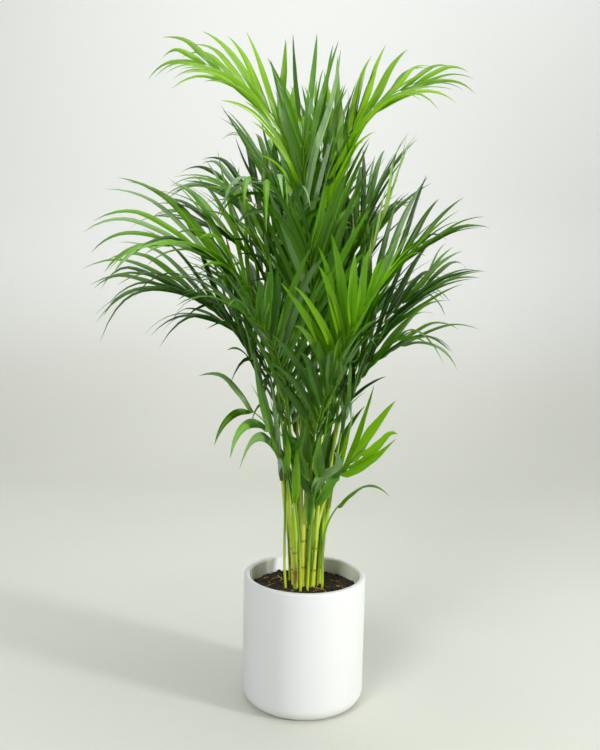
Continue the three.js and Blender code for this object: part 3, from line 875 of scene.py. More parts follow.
@dataclass
class PackedFrond:
    """Stalk rings and leaflets of one frond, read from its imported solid.

    A leaflet's point is the only kind of corner where just three faces meet. Stepping out
    from it through the neighbours gives the ring of its upper part, the ring of its widest
    part, and the three corners of its root. What is left is the rod, whose rings follow each
    other outward from the lowest one.

    Attributes:
        node: Name of the CAD node.
    """

    node: str

    def __post_init__(self) -> None:
        """Reads the solid and takes it apart."""
        solid = bmesh.new()
        solid.from_mesh(frame["nodes"][self.node].data)
        bmesh.ops.remove_doubles(solid, verts=solid.verts, dist=MERGE)
        places = np.array([corner.co[:] for corner in solid.verts])
        faces = np.array([[corner.index for corner in face.verts] for face in solid.faces])
        solid.free()
        near = np.zeros((len(places), len(places)), dtype=int)
        near[faces, np.roll(faces, 1, axis=1)] = 1
        near = near | near.T
        tips = np.flatnonzero(np.bincount(faces.ravel()) == CORNERS)
        seen = np.eye(len(places), dtype=bool)[tips]
        rings = {}
        for ring in ("upper", "widest", "root"):
            step = (seen.astype(int) @ near > 0) & ~seen
            seen |= step
            rings[ring] = np.nonzero(step)[1].reshape(-1, CORNERS)
        self.tips = places[tips]
        self.upper, self.widest, self.root = (places[ring] for ring in rings.values())
        rod = np.ones(len(places), dtype=bool)
        rod[np.concatenate([tips, rings["upper"].ravel(), rings["widest"].ravel()])] = False
        self.rod = self.rings_of_rod(places, near, rod)
        self.centres = self.rod.mean(axis=1)

    @staticmethod
    def rings_of_rod(places: Array, near: Array, rod: Array) -> Array:
        """Rings of the rod in order, from the lowest.

        Args:
            places: All corners of the solid.
            near: Table of neighbours.
            rod: Which corners are on the rod.

        Returns:
            Corners, shape (rings, 3, 3).
        """
        height = np.where(rod, places[:, 2], np.inf)
        front = np.zeros(len(places), dtype=bool)
        front[np.argsort(height)[:CORNERS]] = True
        seen = np.zeros(len(places), dtype=bool)
        rings = []
        while front.any():
            rings.append(places[front])
            seen |= front
            front = near[front].any(axis=0) & rod & ~seen
        return np.stack(rings)


def ridge_first(rings: Array) -> Array:
    """Three-cornered rings with the ridge, which lies opposite the longest side, first.

    Args:
        rings: Corners of each ring, shape (n, 3, 3).

    Returns:
        The rings, each with its ridge as the first corner.
    """
    sides = np.linalg.norm(np.roll(rings, -1, axis=1) - np.roll(rings, -2, axis=1), axis=2)
    turn = (np.argmax(sides, axis=1)[:, None] + np.arange(CORNERS)) % CORNERS
    return np.take_along_axis(rings, turn[:, :, None], axis=1)


# ---------------------------------------------------------------- fronds


@dataclass
class Leaflets:
    """Places and widths of many leaflets.

    Attributes:
        lines: Root, widest, upper and end place of each, shape (n, 4, 3).
        low: Direction of the upper face at the widest part, shape (n, 3).
        high: The same at the upper part.
        widths: Greatest width of each.
    """

    lines: Array
    low: Array
    high: Array
    widths: Array

    def parts(self) -> tuple[Array, Array, Array, Array]:
        """The four arrays in order."""
        return self.lines, self.low, self.high, self.widths

    def take(self, which: Array) -> "Leaflets":
        """Copies of chosen leaflets."""
        return Leaflets(*(part[which] for part in self.parts()))

    def join(self, *others: "Leaflets") -> "Leaflets":
        """These leaflets and others after them."""
        groups = zip(self.parts(), *(other.parts() for other in others))
        return Leaflets(*(np.concatenate(group) for group in groups))

    def blend(self, other: "Leaflets", share: Array) -> "Leaflets":
        """Leaflets between these and others, by a share for each.

        Args:
            other: The others.
            share: Share of the others in each.

        Returns:
            The blended leaflets.
        """
        blends = []
        for mine, theirs in zip(self.parts(), other.parts()):
            part = share.reshape(-1, *[1] * (mine.ndim - 1))
            blends.append(mine * (1.0 - part) + theirs * part)
        return Leaflets(*blends)


@dataclass
class Blades:
    """Many leaflets as surfaces.

    Each follows a smooth line through its four places. Its section has six points: two
    edges, two points half way in, the ridge and the underside of the ridge.

    Attributes:
        leaflets: Their places and widths.
        tones: Tone of each, from 0 for old to 1 for new.
        limp: How far the point of each hangs below its line.
        wax: How strong the painted sheen on each is, from 0 to 1.
        seed: Seed of the edge waves.
        stations: Number of sections.
        turn_span: Share of the length where it begins to turn from its low to its high face,
            and the share over which it turns.
        belly: Power that puts the widest part below the middle.
        fullness: Power of the sine. Under one, it makes the blade fuller.
        neck: Width of the neck at the root, as a share, and the power with which it ends.
        least: Width of the blade's point as a share.
        folds: Degrees by which each half folds down, what the root adds to them, and what the
            point takes away.
        inner: Share of the half width at which the points half way in stand.
        arch: How domed each half is: it rises by arch |s| (1 - |s|) w.
        waves: Height of the two edge waves, as a share of the half width.
        wave_counts: How many of each there are along a blade.
        thick: Thickness at the ridge.
        thin: Share of the thickness that is left at the point.
    """

    leaflets: Leaflets
    tones: Array
    limp: Array
    wax: Array
    seed: int
    stations: int = 13
    turn_span: Span = (0.2, 0.6)
    belly: float = 0.58
    fullness: float = 0.85
    neck: tuple[float, int] = (0.28, 12)
    least: float = 0.012
    folds: tuple[float, float, float] = (28.0, 24.0, 11.0)
    inner: float = 0.52
    arch: float = 0.34
    waves: Span = (0.05, 0.04)
    wave_counts: Span = (2.2, 3.1)
    thick: float = 0.0006
    thin: float = 0.35

    def patch(self) -> Patch:
        """Sections of every leaflet, joined.

        At the share t of the length, the half width is w = sin(pi t^belly)^fullness plus a
        narrow neck at the root. A point at the share s of the half width, from -1 to 1, lies
        at s w sideways and falls below the ridge by tan(fold) |s| w, less an arch over each
        half, so each half is slightly domed. The edges rise and fall in slow waves.

        Returns:
            The patch, with values for its finish.
        """
        lines, low, high, widths = self.leaflets.parts()
        n = len(lines)
        even = np.linspace(0.0, 1.0, self.stations)
        t = np.broadcast_to(even**1.1, (n, self.stations))
        places, tangents = Path(lines).at(t)
        places = places - UP * (self.limp[:, None] * t**5)[..., None]
        begin, over = self.turn_span
        turn = smooth((t - begin) / over)[..., None]
        normals = across(low[:, None] * (1.0 - turn) + high[:, None] * turn, tangents)
        sides = np.cross(normals, tangents)
        neck, neck_power = self.neck
        width = np.sin(math.pi * t**self.belly) ** self.fullness
        width = width + neck * (1.0 - t) ** neck_power + self.least
        half = (0.5 * widths[:, None] * width)[..., None]
        phase = np.random.default_rng(self.seed).uniform(0.0, TURN, (n, 1))
        flat, steeper, flatter = self.folds
        fold = np.radians(flat + steeper * (1.0 - t) ** 6 - flatter * t)
        share = np.array([-1.0, -self.inner, 0.0, self.inner, 1.0, 0.0])
        inward = 1.0 - np.abs(share)
        fall = np.tan(fold)[..., None] * np.abs(share) * half
        arch = self.arch * inward * np.abs(share) * half
        (even_wave, odd_wave), (even_count, odd_count) = self.waves, self.wave_counts
        even_swing = np.sin(TURN * even_count * t + phase)[..., None]
        odd_swing = np.sin(TURN * odd_count * t + 2.0 * phase)[..., None]
        wave = even_wave * half * share**2 * even_swing + odd_wave * half * share * odd_swing
        rise = arch - fall + wave
        under = np.arange(len(share)) == len(share) - 1
        thick = self.thin + (1.0 - self.thin) * half[..., 0] / half.max()
        rise[..., -1] -= self.thick * thick
        spread = share * half * np.cos(fold)[..., None]
        points = places[:, :, None] + sides[:, :, None] * spread[..., None]
        points = points + normals[:, :, None] * rise[..., None]
        return tubes(
            points, along=t[..., None], side=share, under=under.astype(float),
            tone=self.tones[:, None, None], wax=self.wax[:, None, None],
        )


@dataclass(frozen=True)
class Habit:
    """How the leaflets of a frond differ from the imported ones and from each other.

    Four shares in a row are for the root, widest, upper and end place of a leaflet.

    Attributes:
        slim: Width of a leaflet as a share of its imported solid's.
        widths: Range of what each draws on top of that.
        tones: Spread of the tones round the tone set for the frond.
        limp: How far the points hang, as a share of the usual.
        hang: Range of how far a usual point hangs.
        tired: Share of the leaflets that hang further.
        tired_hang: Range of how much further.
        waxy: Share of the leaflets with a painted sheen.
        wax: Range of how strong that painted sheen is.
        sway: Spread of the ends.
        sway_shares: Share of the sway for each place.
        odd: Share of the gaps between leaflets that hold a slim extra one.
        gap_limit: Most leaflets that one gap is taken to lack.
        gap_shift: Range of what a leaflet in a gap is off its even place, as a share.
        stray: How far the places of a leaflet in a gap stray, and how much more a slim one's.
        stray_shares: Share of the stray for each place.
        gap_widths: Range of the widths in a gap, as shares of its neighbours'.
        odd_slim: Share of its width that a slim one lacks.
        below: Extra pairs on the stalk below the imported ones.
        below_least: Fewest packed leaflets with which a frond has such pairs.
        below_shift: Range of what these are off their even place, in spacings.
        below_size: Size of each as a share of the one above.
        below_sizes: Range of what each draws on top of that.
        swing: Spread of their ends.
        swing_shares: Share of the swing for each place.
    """

    slim: float = 1.08
    widths: Span = (0.82, 1.1)
    tones: float = 0.3
    limp: float = 1.0
    hang: Span = (0.002, 0.016)
    tired: float = 0.12
    tired_hang: Span = (0.02, 0.07)
    waxy: float = 0.14
    wax: Span = (0.3, 0.9)
    sway: float = 0.006
    sway_shares: tuple[float, ...] = (0.0, 0.2, 0.8, 1.5)
    odd: float = 0.14
    gap_limit: int = 3
    gap_shift: Span = (-0.15, 0.15)
    stray: Span = (0.006, 0.016)
    stray_shares: tuple[float, ...] = (0.0, 0.35, 0.8, 1.2)
    gap_widths: Span = (0.8, 1.0)
    odd_slim: float = 0.45
    below: int = 2
    below_least: int = 12
    below_shift: Span = (-0.25, 0.25)
    below_size: float = 0.86
    below_sizes: Span = (0.85, 1.0)
    swing: float = 0.022
    swing_shares: tuple[float, ...] = (0.0, 0.35, 0.75, 1.0)


@dataclass
class Frond:
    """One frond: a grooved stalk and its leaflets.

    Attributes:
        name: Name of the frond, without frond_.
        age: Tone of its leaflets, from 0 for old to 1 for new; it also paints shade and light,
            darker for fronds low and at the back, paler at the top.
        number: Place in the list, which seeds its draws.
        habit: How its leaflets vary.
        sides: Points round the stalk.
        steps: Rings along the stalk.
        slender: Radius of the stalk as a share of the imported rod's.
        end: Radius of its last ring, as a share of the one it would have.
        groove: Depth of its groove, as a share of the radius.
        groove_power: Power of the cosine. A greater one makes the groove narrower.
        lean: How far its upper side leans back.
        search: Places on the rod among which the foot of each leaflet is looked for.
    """

    name: str
    age: float
    number: int
    habit: Habit = Habit()
    sides: int = 10
    steps: int = 44
    slender: float = 0.94
    end: float = 0.4
    groove: float = 0.22
    groove_power: int = 8
    lean: float = 0.6
    search: int = 240

    def __post_init__(self) -> None:
        """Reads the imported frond."""
        self.node = f"frond_{self.name}"
        self.packed = PackedFrond(self.node)
        self.path = Path(self.packed.centres[None])
        self.rng = np.random.default_rng(FROND_SEED + self.number)

    def stalk(self) -> Patch:
        """The rod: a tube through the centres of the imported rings, grooved above.

        The radius at angle a from the top is r (1 - groove g), where g is a narrow hump at
        the top, so that a shallow channel runs up the stalk.

        Returns:
            The patch, on the second material.
        """
        rings, centres = self.packed.rod, self.packed.centres
        radii = np.linalg.norm(rings - centres[:, None], axis=2).mean(axis=1)
        share = np.linspace(0.0, 1.0, self.steps)
        places, tangents = self.path.at(share[None])
        radius = np.interp(share, self.path.shares[0], radii) * self.slender
        radius[-1] *= self.end
        up = self.up(tangents[0])
        right = np.cross(tangents[0], up)
        angle = round_angles(self.sides)
        hump = np.clip(np.cos(angle), 0.0, 1.0) ** self.groove_power
        grooved = radius[:, None] * (1.0 - self.groove * hump)
        points = places[0][:, None] + grooved[..., None] * turned(angle, up, right)
        return tubes(
            points, material=1, along=share[:, None], side=np.cos(angle), tone=self.age
        )

    def rows(self) -> tuple[Array, Array]:
        """Where each packed leaflet leaves the rod, and on which hand.

        Returns:
            Shares of the rod's length, and 1 or -1 for the right or left hand.
        """
        packed = self.packed
        shares = np.linspace(0.0, 1.0, self.search)
        places, tangents = self.path.at(shares[None])
        roots = packed.root.mean(axis=1)
        nearest = np.argmin(np.linalg.norm(roots[:, None] - places, axis=2), axis=1)
        right = np.cross(tangents[0, nearest], self.up(tangents[0, nearest]))
        heading = packed.widest.mean(axis=1) - roots
        return shares[nearest], np.sign(np.sum(heading * right, axis=1))

    def up(self, tangents: Array) -> Array:
        """The upper side of the rod: upward, leaning back to the middle of the plant.

        Args:
            tangents: Directions of the rod.

        Returns:
            A direction for each, square to the rod.
        """
        centres = self.packed.centres
        outward = unit((centres[-1] - centres[0]) * LEVEL)
        return across(UP - self.lean * outward, tangents)

    def solid_leaflets(self) -> Leaflets:
        """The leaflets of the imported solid.

        Returns:
            The leaflets.
        """
        packed = self.packed
        widest, upper = ridge_first(packed.widest), ridge_first(packed.upper)
        roots = packed.root.mean(axis=1)
        return Leaflets(
            np.stack([roots, widest.mean(axis=1), upper.mean(axis=1), packed.tips], axis=1),
            unit(widest[:, 0] - widest[:, 1:].mean(axis=1)),
            unit(upper[:, 0] - upper[:, 1:].mean(axis=1)),
            np.linalg.norm(widest[:, 1] - widest[:, 2], axis=1),
        )

    def blades(self) -> Patch:
        """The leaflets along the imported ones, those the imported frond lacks, and slim ones.

        A gap of several spacings between two leaflets of a hand is filled with blends of the
        two. Beside a drawn few, a slim leaflet stands at an odd angle.

        Returns:
            The patch.
        """
        habit, rng = self.habit, self.rng
        shares, hands = self.rows()
        order = np.lexsort((shares, hands))
        packed, shares, hands = self.solid_leaflets().take(order), shares[order], hands[order]
        gaps = np.diff(shares)
        beside = hands[1:] == hands[:-1]
        typical = np.median(gaps[beside]) if beside.any() else 1.0
        lacking = np.clip(np.round(gaps / typical) - 1, 0, habit.gap_limit)
        odd = rng.uniform(0.0, 1.0, len(gaps)) < habit.odd
        count = np.where(beside, lacking + odd, 0).astype(int)
        first = np.repeat(np.arange(len(gaps)), count)
        rank = np.arange(len(first)) - np.repeat(np.cumsum(count) - count, count)
        part = (rank + 1.0) / (count[first] + 1.0) + rng.uniform(*habit.gap_shift, len(first))
        between = packed.take(first).blend(packed.take(first + 1), part)
        slim = (odd[first] & (rank == 0)).astype(float)
        usual, more = habit.stray
        stray = rng.normal(0.0, 1.0, (len(first), 3)) * (usual + more * slim[:, None])
        between.lines += np.array(habit.stray_shares)[:, None] * stray[:, None]
        widths = rng.uniform(*habit.gap_widths, len(first)) * (1.0 - habit.odd_slim * slim)
        between.widths *= widths
        every = packed.join(between, self.lower(packed, shares, hands, typical))
        return self.vary(every).patch()

    def vary(self, every: Leaflets) -> Blades:
        """Draws the sway, width, tone and droop of each leaflet, and its painted sheen.

        Args:
            every: The leaflets.

        Returns:
            Their blades.
        """
        habit, rng, n = self.habit, self.rng, len(every.widths)
        sway = rng.normal(0.0, habit.sway, (n, 1, 3))
        lines = every.lines + sway * np.array(habit.sway_shares)[:, None]
        widths = every.widths * habit.slim * rng.uniform(*habit.widths, n)
        tones = np.clip(self.age + rng.normal(0.0, habit.tones, n), 0.0, 1.0)
        limp = rng.uniform(*habit.hang, n)
        limp = limp + rng.uniform(*habit.tired_hang, n) * (rng.uniform(0, 1, n) < habit.tired)
        # A few leaflets are drawn to carry a painted sheen.
        waxy = rng.uniform(0.0, 1.0, n) < habit.waxy
        wax = waxy * rng.uniform(*habit.wax, n)
        leaflets = Leaflets(lines, unit(every.low), unit(every.high), widths)
        return Blades(leaflets, tones, limp * habit.limp, wax, self.number)

    def lower(self, packed: Leaflets, shares: Array, hands: Array, spacing: float) -> Leaflets:
        """Leaflets that carry the row of each hand a few places down the stalk.

        Each is the lowest packed leaflet of its hand, moved down the rod, made shorter about
        its root and swung a little to one side.

        Args:
            packed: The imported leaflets, in order along each hand.
            shares: Where each leaves the rod.
            hands: Which hand each is on.
            spacing: Share of the rod between two leaflets.

        Returns:
            The leaflets, or none for a frond of few.
        """
        habit, rng = self.habit, self.rng
        if len(hands) < habit.below_least:
            return packed.take(np.arange(0))
        first = np.flatnonzero(np.concatenate([[True], hands[1:] != hands[:-1]]))
        first = np.repeat(first, habit.below)
        n = len(first)
        rank = np.tile(np.arange(1, habit.below + 1), n // habit.below)
        down = shares[first] - spacing * (rank + rng.uniform(*habit.below_shift, n))
        here, _ = self.path.at(shares[first][None])
        there, _ = self.path.at(down[None])
        rows = packed.take(first)
        size = habit.below_size**rank * rng.uniform(*habit.below_sizes, n)
        root = rows.lines[:, :1]
        lines = root + (rows.lines - root) * size[:, None, None]
        swing = rng.normal(0.0, habit.swing, (n, 1, 3)) * np.array(habit.swing_shares)[:, None]
        rows.lines = lines + (there - here)[0][:, None] + swing
        return rows

    def make(self, leaf: Any, stalk: Any) -> Any:
        """Builds the frond with its two materials."""
        patches = [self.blades(), self.stalk()]
        return build(f"leafy_{self.name}", patches, [leaf, stalk], crease=40.0)


# ---------------------------------------------------------------- canes


@dataclass
class Cane:
    """One cane of the clump, with ring scars and the sheaths of the stalks on it.

    Attributes:
        node: Name of the CAD node.
        number: Place in the list, which seeds its draws.
        fronds: Fronds whose stalks it carries.
        sides: Points round it.
        steps: Rings along it.
        slim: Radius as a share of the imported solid's.
        end_depth: Depth within which corners of the solid are on its end face.
        scars: Shares of its visible length at which a leaf once sat.
        scar_span: Half width of a scar.
        furrow_gap: Distance from a scar to its furrow, in half widths.
        base: Radius between the scars, as a share.
        swell: What a scar adds to that, what a furrow takes away, and what the foot adds.
        foot_span: Share of the visible length over which the foot's part ends.
        wobble: Height of the unevenness as a share of the radius.
        wobble_wave: Wavelength of the unevenness.
        sheath: Length of each stalk's sleeve above the cane.
        lap: Length of the sleeve below the cane's top.
        sleeve_steps: Rings along a sleeve.
        join: Height above the cane's top where a sleeve's middle is on the stalk, and depth
            below it where the sleeve begins to narrow.
        tight: Radius of the sleeve on the cane as a share of the cane's.
        stalk_radius: Radius that the sleeve shrinks to.
        lip_radius: Radius of its last ring.
    """

    node: str
    number: int
    fronds: list[Frond]
    sides: int = 20
    steps: int = 90
    slim: float = 0.84
    end_depth: float = 1e-4
    scars: tuple[float, ...] = (0.3, 0.68)
    scar_span: float = 0.0026
    furrow_gap: float = 1.9
    base: float = 0.97
    swell: tuple[float, float, float] = (0.1, 0.05, 0.1)
    foot_span: float = 0.125
    wobble: float = 0.03
    wobble_wave: float = 0.02
    sheath: float = 0.085
    lap: float = 0.06
    sleeve_steps: int = 30
    join: float = 0.02
    tight: float = 0.92
    stalk_radius: float = 0.0034
    lip_radius: float = 0.0028

    def __post_init__(self) -> None:
        """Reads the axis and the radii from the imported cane."""
        mesh = frame["nodes"][self.node].data
        places = np.empty(3 * len(mesh.vertices))
        mesh.vertices.foreach_get("co", places)
        places = places.reshape(-1, 3)
        low = places[places[:, 2] < places[:, 2].min() + self.end_depth]
        high = places[places[:, 2] > places[:, 2].max() - self.end_depth]
        self.foot, self.top = low.mean(axis=0), high.mean(axis=0)
        self.foot_radius = self.slim * np.linalg.norm(low - self.foot, axis=1).max()
        self.top_radius = self.slim * np.linalg.norm(high - self.top, axis=1).max()
        self.tone = np.random.default_rng(CANE_SEED + self.number).uniform(0.0, 1.0)

    def tube(self, places: Array, tangents: Array, radii: Array, scar: Array) -> Patch:
        """A round, slightly uneven tube along places.

        Args:
            places: Middle of each ring, shape (rings, 3).
            tangents: Direction of each ring.
            radii: Radius of each ring.
            scar: How much of a scar each ring is, from 0 to 1.

        Returns:
            The patch.
        """
        ahead = across(np.array([0.0, 1.0, 0.0]), tangents)
        right = np.cross(ahead, tangents)
        angle = round_angles(self.sides)
        rings = places[:, None] + radii[:, None, None] * turned(angle, right, ahead)
        uneven = 1.0 + self.wobble * ripple(rings, self.wobble_wave, self.number)
        points = places[:, None] + (rings - places[:, None]) * uneven[..., None]
        share = np.clip((points[..., 2] - SOIL_EDGE) / (self.top[2] - SOIL_EDGE), 0.0, 1.0)
        return tubes(points, along=share, side=np.cos(angle), scar=scar[:, None], tone=self.tone)

    def stem(self) -> Patch:
        """The cane: tapered, a little thicker at each scar and at the soil.

        The radius is a share of the straight taper: the base, plus a bell curve over each
        scar, less a lower one in the furrow just above it, and a little more at the foot.

        Returns:
            The patch.
        """
        share = np.linspace(0.0, 1.0, self.steps)
        axis = self.top - self.foot
        places = self.foot + share[:, None] * axis
        soil = (SOIL_CROWN - self.foot[2]) / axis[2]
        seen = (share - soil) / (1.0 - soil)
        radii = self.foot_radius + (self.top_radius - self.foot_radius) * np.clip(seen, 0, 1)
        span = self.scar_span / (axis[2] * (1.0 - soil))
        off = seen - np.array(self.scars)[:, None]
        bells = np.exp(-((off / span) ** 2)).sum(axis=0)
        furrow = np.exp(-(((off - self.furrow_gap * span) / span) ** 2)).sum(axis=0)
        foot = smooth(1.0 - seen / self.foot_span)
        scar_swell, furrow_depth, foot_swell = self.swell
        swell = self.base + scar_swell * bells - furrow_depth * furrow + foot_swell * foot
        tangents = np.broadcast_to(unit(axis), places.shape)
        return self.tube(places, tangents, radii * swell, np.clip(bells, 0.0, 1.0))

    def sleeve(self, frond: Frond) -> Patch:
        """The sheath of one stalk: a sleeve from the cane onto the stalk.

        Its middle eases from the cane's axis to the stalk's line, and its radius from the
        cane's to the stalk's.

        Args:
            frond: The frond whose stalk it holds.

        Returns:
            The patch.
        """
        up = np.linspace(-self.lap, self.sheath, self.sleeve_steps)
        on_cane = self.top + up[:, None] * unit(self.top - self.foot)
        shares = np.clip(up, 0.0, None) / frond.path.length[0]
        on_stalk, _ = frond.path.at(shares[None])
        on_stalk = on_stalk[0] + np.clip(up, None, 0.0)[:, None] * UP
        ease = smooth((up + self.lap) / (self.lap + self.join))
        places = on_cane + (on_stalk - on_cane) * ease[:, None]
        tangents = unit(np.gradient(places, up, axis=0))
        shrink = smooth((up + self.join) / (self.sheath + self.join))
        wide = self.top_radius * self.tight
        radii = wide + (self.stalk_radius - wide) * shrink
        radii[-1] = self.lip_radius
        return self.tube(places, tangents, radii, np.zeros(len(up)))

    def make(self, finish: Any) -> Any:
        """Builds the cane and its sheaths."""
        patches = [self.stem()] + [self.sleeve(frond) for frond in self.fronds]
        return build(f"ringed_{self.node}", patches, [finish], crease=50.0)


# ---------------------------------------------------------------- planter, soil and label


@dataclass
class Planter:
    """The white planter: a turned wall with a round foot and a soft rim.

    Attributes:
        wall: Thickness of the wall.
        floor: Thickness of the floor.
        foot_round: Radius of the outer bottom edge.
        inside_round: Radius of the inner bottom edge.
        rim_round: Radius of both edges of the rim.
        pole: Radius of the smallest ring, in the middle of the underside and of the floor.
        facets: Points round it.
        arcs: Steps round the foot, each edge of the rim, and the inner bottom edge.
        steps: Steps up the wall outside and down it inside.
    """

    wall: float = 0.0135
    floor: float = 0.014
    foot_round: float = 0.030
    inside_round: float = 0.018
    rim_round: float = 0.0045
    pole: float = 0.002
    facets: int = 144
    arcs: tuple[int, int, int] = (12, 6, 5)
    steps: tuple[int, int] = (10, 6)

    def __post_init__(self) -> None:
        """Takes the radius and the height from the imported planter."""
        _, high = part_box("pot")
        self.radius = high.x
        self.height = high.z
        self.inside = self.radius - self.wall

    @staticmethod
    def arc(x: float, z: float, radius: float, start: float, end: float, steps: int) -> Array:
        """Points on part of a circle, angles in quarter turns."""
        angle = np.linspace(start, end, steps + 1) * TURN / 4.0
        return np.stack([x + radius * np.cos(angle), z + radius * np.sin(angle)], axis=1)

    @staticmethod
    def straight(start: Array, end: Array, steps: int) -> Array:
        """Points between two points of a profile, without the ends."""
        return start + (end - start) * np.linspace(0.0, 1.0, steps + 2)[1:-1, None]

    def profile(self) -> Array:
        """Radius and height of the wall, from the middle of the foot round to the inside.

        Returns:
            Radius and height of each point, shape (n, 2).
        """
        foot_steps, rim_steps, low_steps = self.arcs
        up_steps, down_steps = self.steps
        bend, rim, inner_bend = self.foot_round, self.rim_round, self.inside_round
        foot = self.arc(self.radius - bend, bend, bend, -1, 0, foot_steps)
        outer = self.arc(self.radius - rim, self.height - rim, rim, 0, 1, rim_steps)
        inner = self.arc(self.inside + rim, self.height - rim, rim, 1, 2, rim_steps)
        middle = self.inside - inner_bend
        low = self.arc(middle, self.floor + inner_bend, inner_bend, 0, -1, low_steps)
        outside = self.straight(foot[-1], outer[0], up_steps)
        inside = self.straight(inner[-1], low[0], down_steps)
        start, end = [[self.pole, 0.0]], [[self.pole, self.floor]]
        return np.concatenate([start, foot, outside, outer, inner, inside, low, end])

    def make(self, finish: Any) -> Any:
        """Turns the profile round the Z axis.

        Args:
            finish: Material of the planter.

        Returns:
            The planter.
        """
        profile = self.profile()[:, None]
        points = profile[..., :1] * spokes(round_angles(self.facets)) + profile[..., 1:] * UP
        return build("white_planter", [tubes(points)], [finish], crease=60.0)


@dataclass
class Soil:
    """The soil: a mounded, crumbly top over a body that fills the planter.

    Attributes:
        planter: The planter that holds it.
        rows: Rings of points on the top.
        columns: Points round it.
        gap: Gap between the soil and the planter.
        poles: Share of the radius of the top's smallest ring, and radius of the underside's.
        clods: Height and wavelength of the clods.
        lumps: Height and wavelength of the lumps on them.
        count: Number of loose crumbs.
        strewn: Share of the radius that they reach to.
        sizes: Range of the half width of a crumb.
        ball: Rings of a crumb, and points round each.
    """

    planter: Planter
    rows: int = 84
    columns: int = 260
    gap: float = 0.0003
    poles: Span = (0.004, 0.001)
    clods: Span = (0.0042, 0.034)
    lumps: Span = (0.0024, 0.0085)
    count: int = 760
    strewn: float = 0.97
    sizes: Span = (0.0010, 0.0038)
    ball: tuple[int, int] = (5, 6)

    def level(self, places: Array) -> Array:
        """Height of the top at flat places.

        The mound falls from the crown to the edge with the square of the radius. On it ride
        clods, a sum of three octaves of waves, and lumps, the absolute value of a sum of two.

        Args:
            places: X and Y, shape (..., 2).

        Returns:
            Heights.
        """
        share = np.linalg.norm(places, axis=-1) / self.planter.inside
        mound = SOIL_CROWN - (SOIL_CROWN - SOIL_EDGE) * share**2
        (clod, clod_wave), (lump, lump_wave) = self.clods, self.lumps
        clods = clod * ripple(places, clod_wave, CLOD_SEED)
        return mound + clods + lump * np.abs(ripple(places, lump_wave, LUMP_SEED, 2))

    def body(self) -> Patch:
        """Top, side and underside of the soil as one turned skin.

        Returns:
            The skin.
        """
        radius = self.planter.inside - self.gap
        bottom = self.planter.floor + self.gap
        bend = self.planter.inside_round
        low = self.planter.arc(radius - bend, bottom + bend, bend, -1, 0, steps=5)
        ways = spokes(round_angles(self.columns))[:, :2]
        top_pole, low_pole = self.poles
        shares = np.linspace(1.0, top_pole, self.rows) ** 0.85
        top = radius * shares[:, None, None] * ways
        sides = np.concatenate([[low_pole], low[:, 0]])[:, None, None] * ways
        flat = np.concatenate([sides, top])
        heights = np.concatenate([[bottom], low[:, 1], np.zeros(self.rows)])
        heights = np.broadcast_to(heights[:, None], flat.shape[:2]).copy()
        heights[-self.rows:] = self.level(top)
        return tubes(np.concatenate([flat, heights[..., None]], axis=2))

    def crumbs(self) -> Patch:
        """Loose crumbs on the soil: small uneven lumps.

        Returns:
            The crumbs.
        """
        rng, n = np.random.default_rng(CRUMB_SEED), self.count
        radius = self.planter.inside * self.strewn * np.sqrt(rng.uniform(0.0, 1.0, n))
        flat = radius[:, None] * spokes(rng.uniform(0.0, TURN, n))[:, :2]
        size = rng.uniform(*self.sizes, (n, 1, 1, 1)) * rng.uniform(0.6, 1.3, (n, 1, 1, 3))
        rings, sides = self.ball
        polar = np.linspace(0.03, 0.97, rings)[:, None, None] * math.pi
        ball = np.sin(polar) * spokes(round_angles(sides)) - np.cos(polar) * UP
        points = ball * size * (1.0 + rng.uniform(-0.25, 0.25, (n, rings, sides, 1)))
        centre = np.concatenate([flat, self.level(flat)[:, None]], axis=1)
        return tubes(points + centre[:, None, None])

    def make(self, finish: Any) -> Any:
        """Builds the soil with its crumbs."""
        return build("crumbly_soil", [self.body(), self.crumbs()], [finish], crease=70.0)


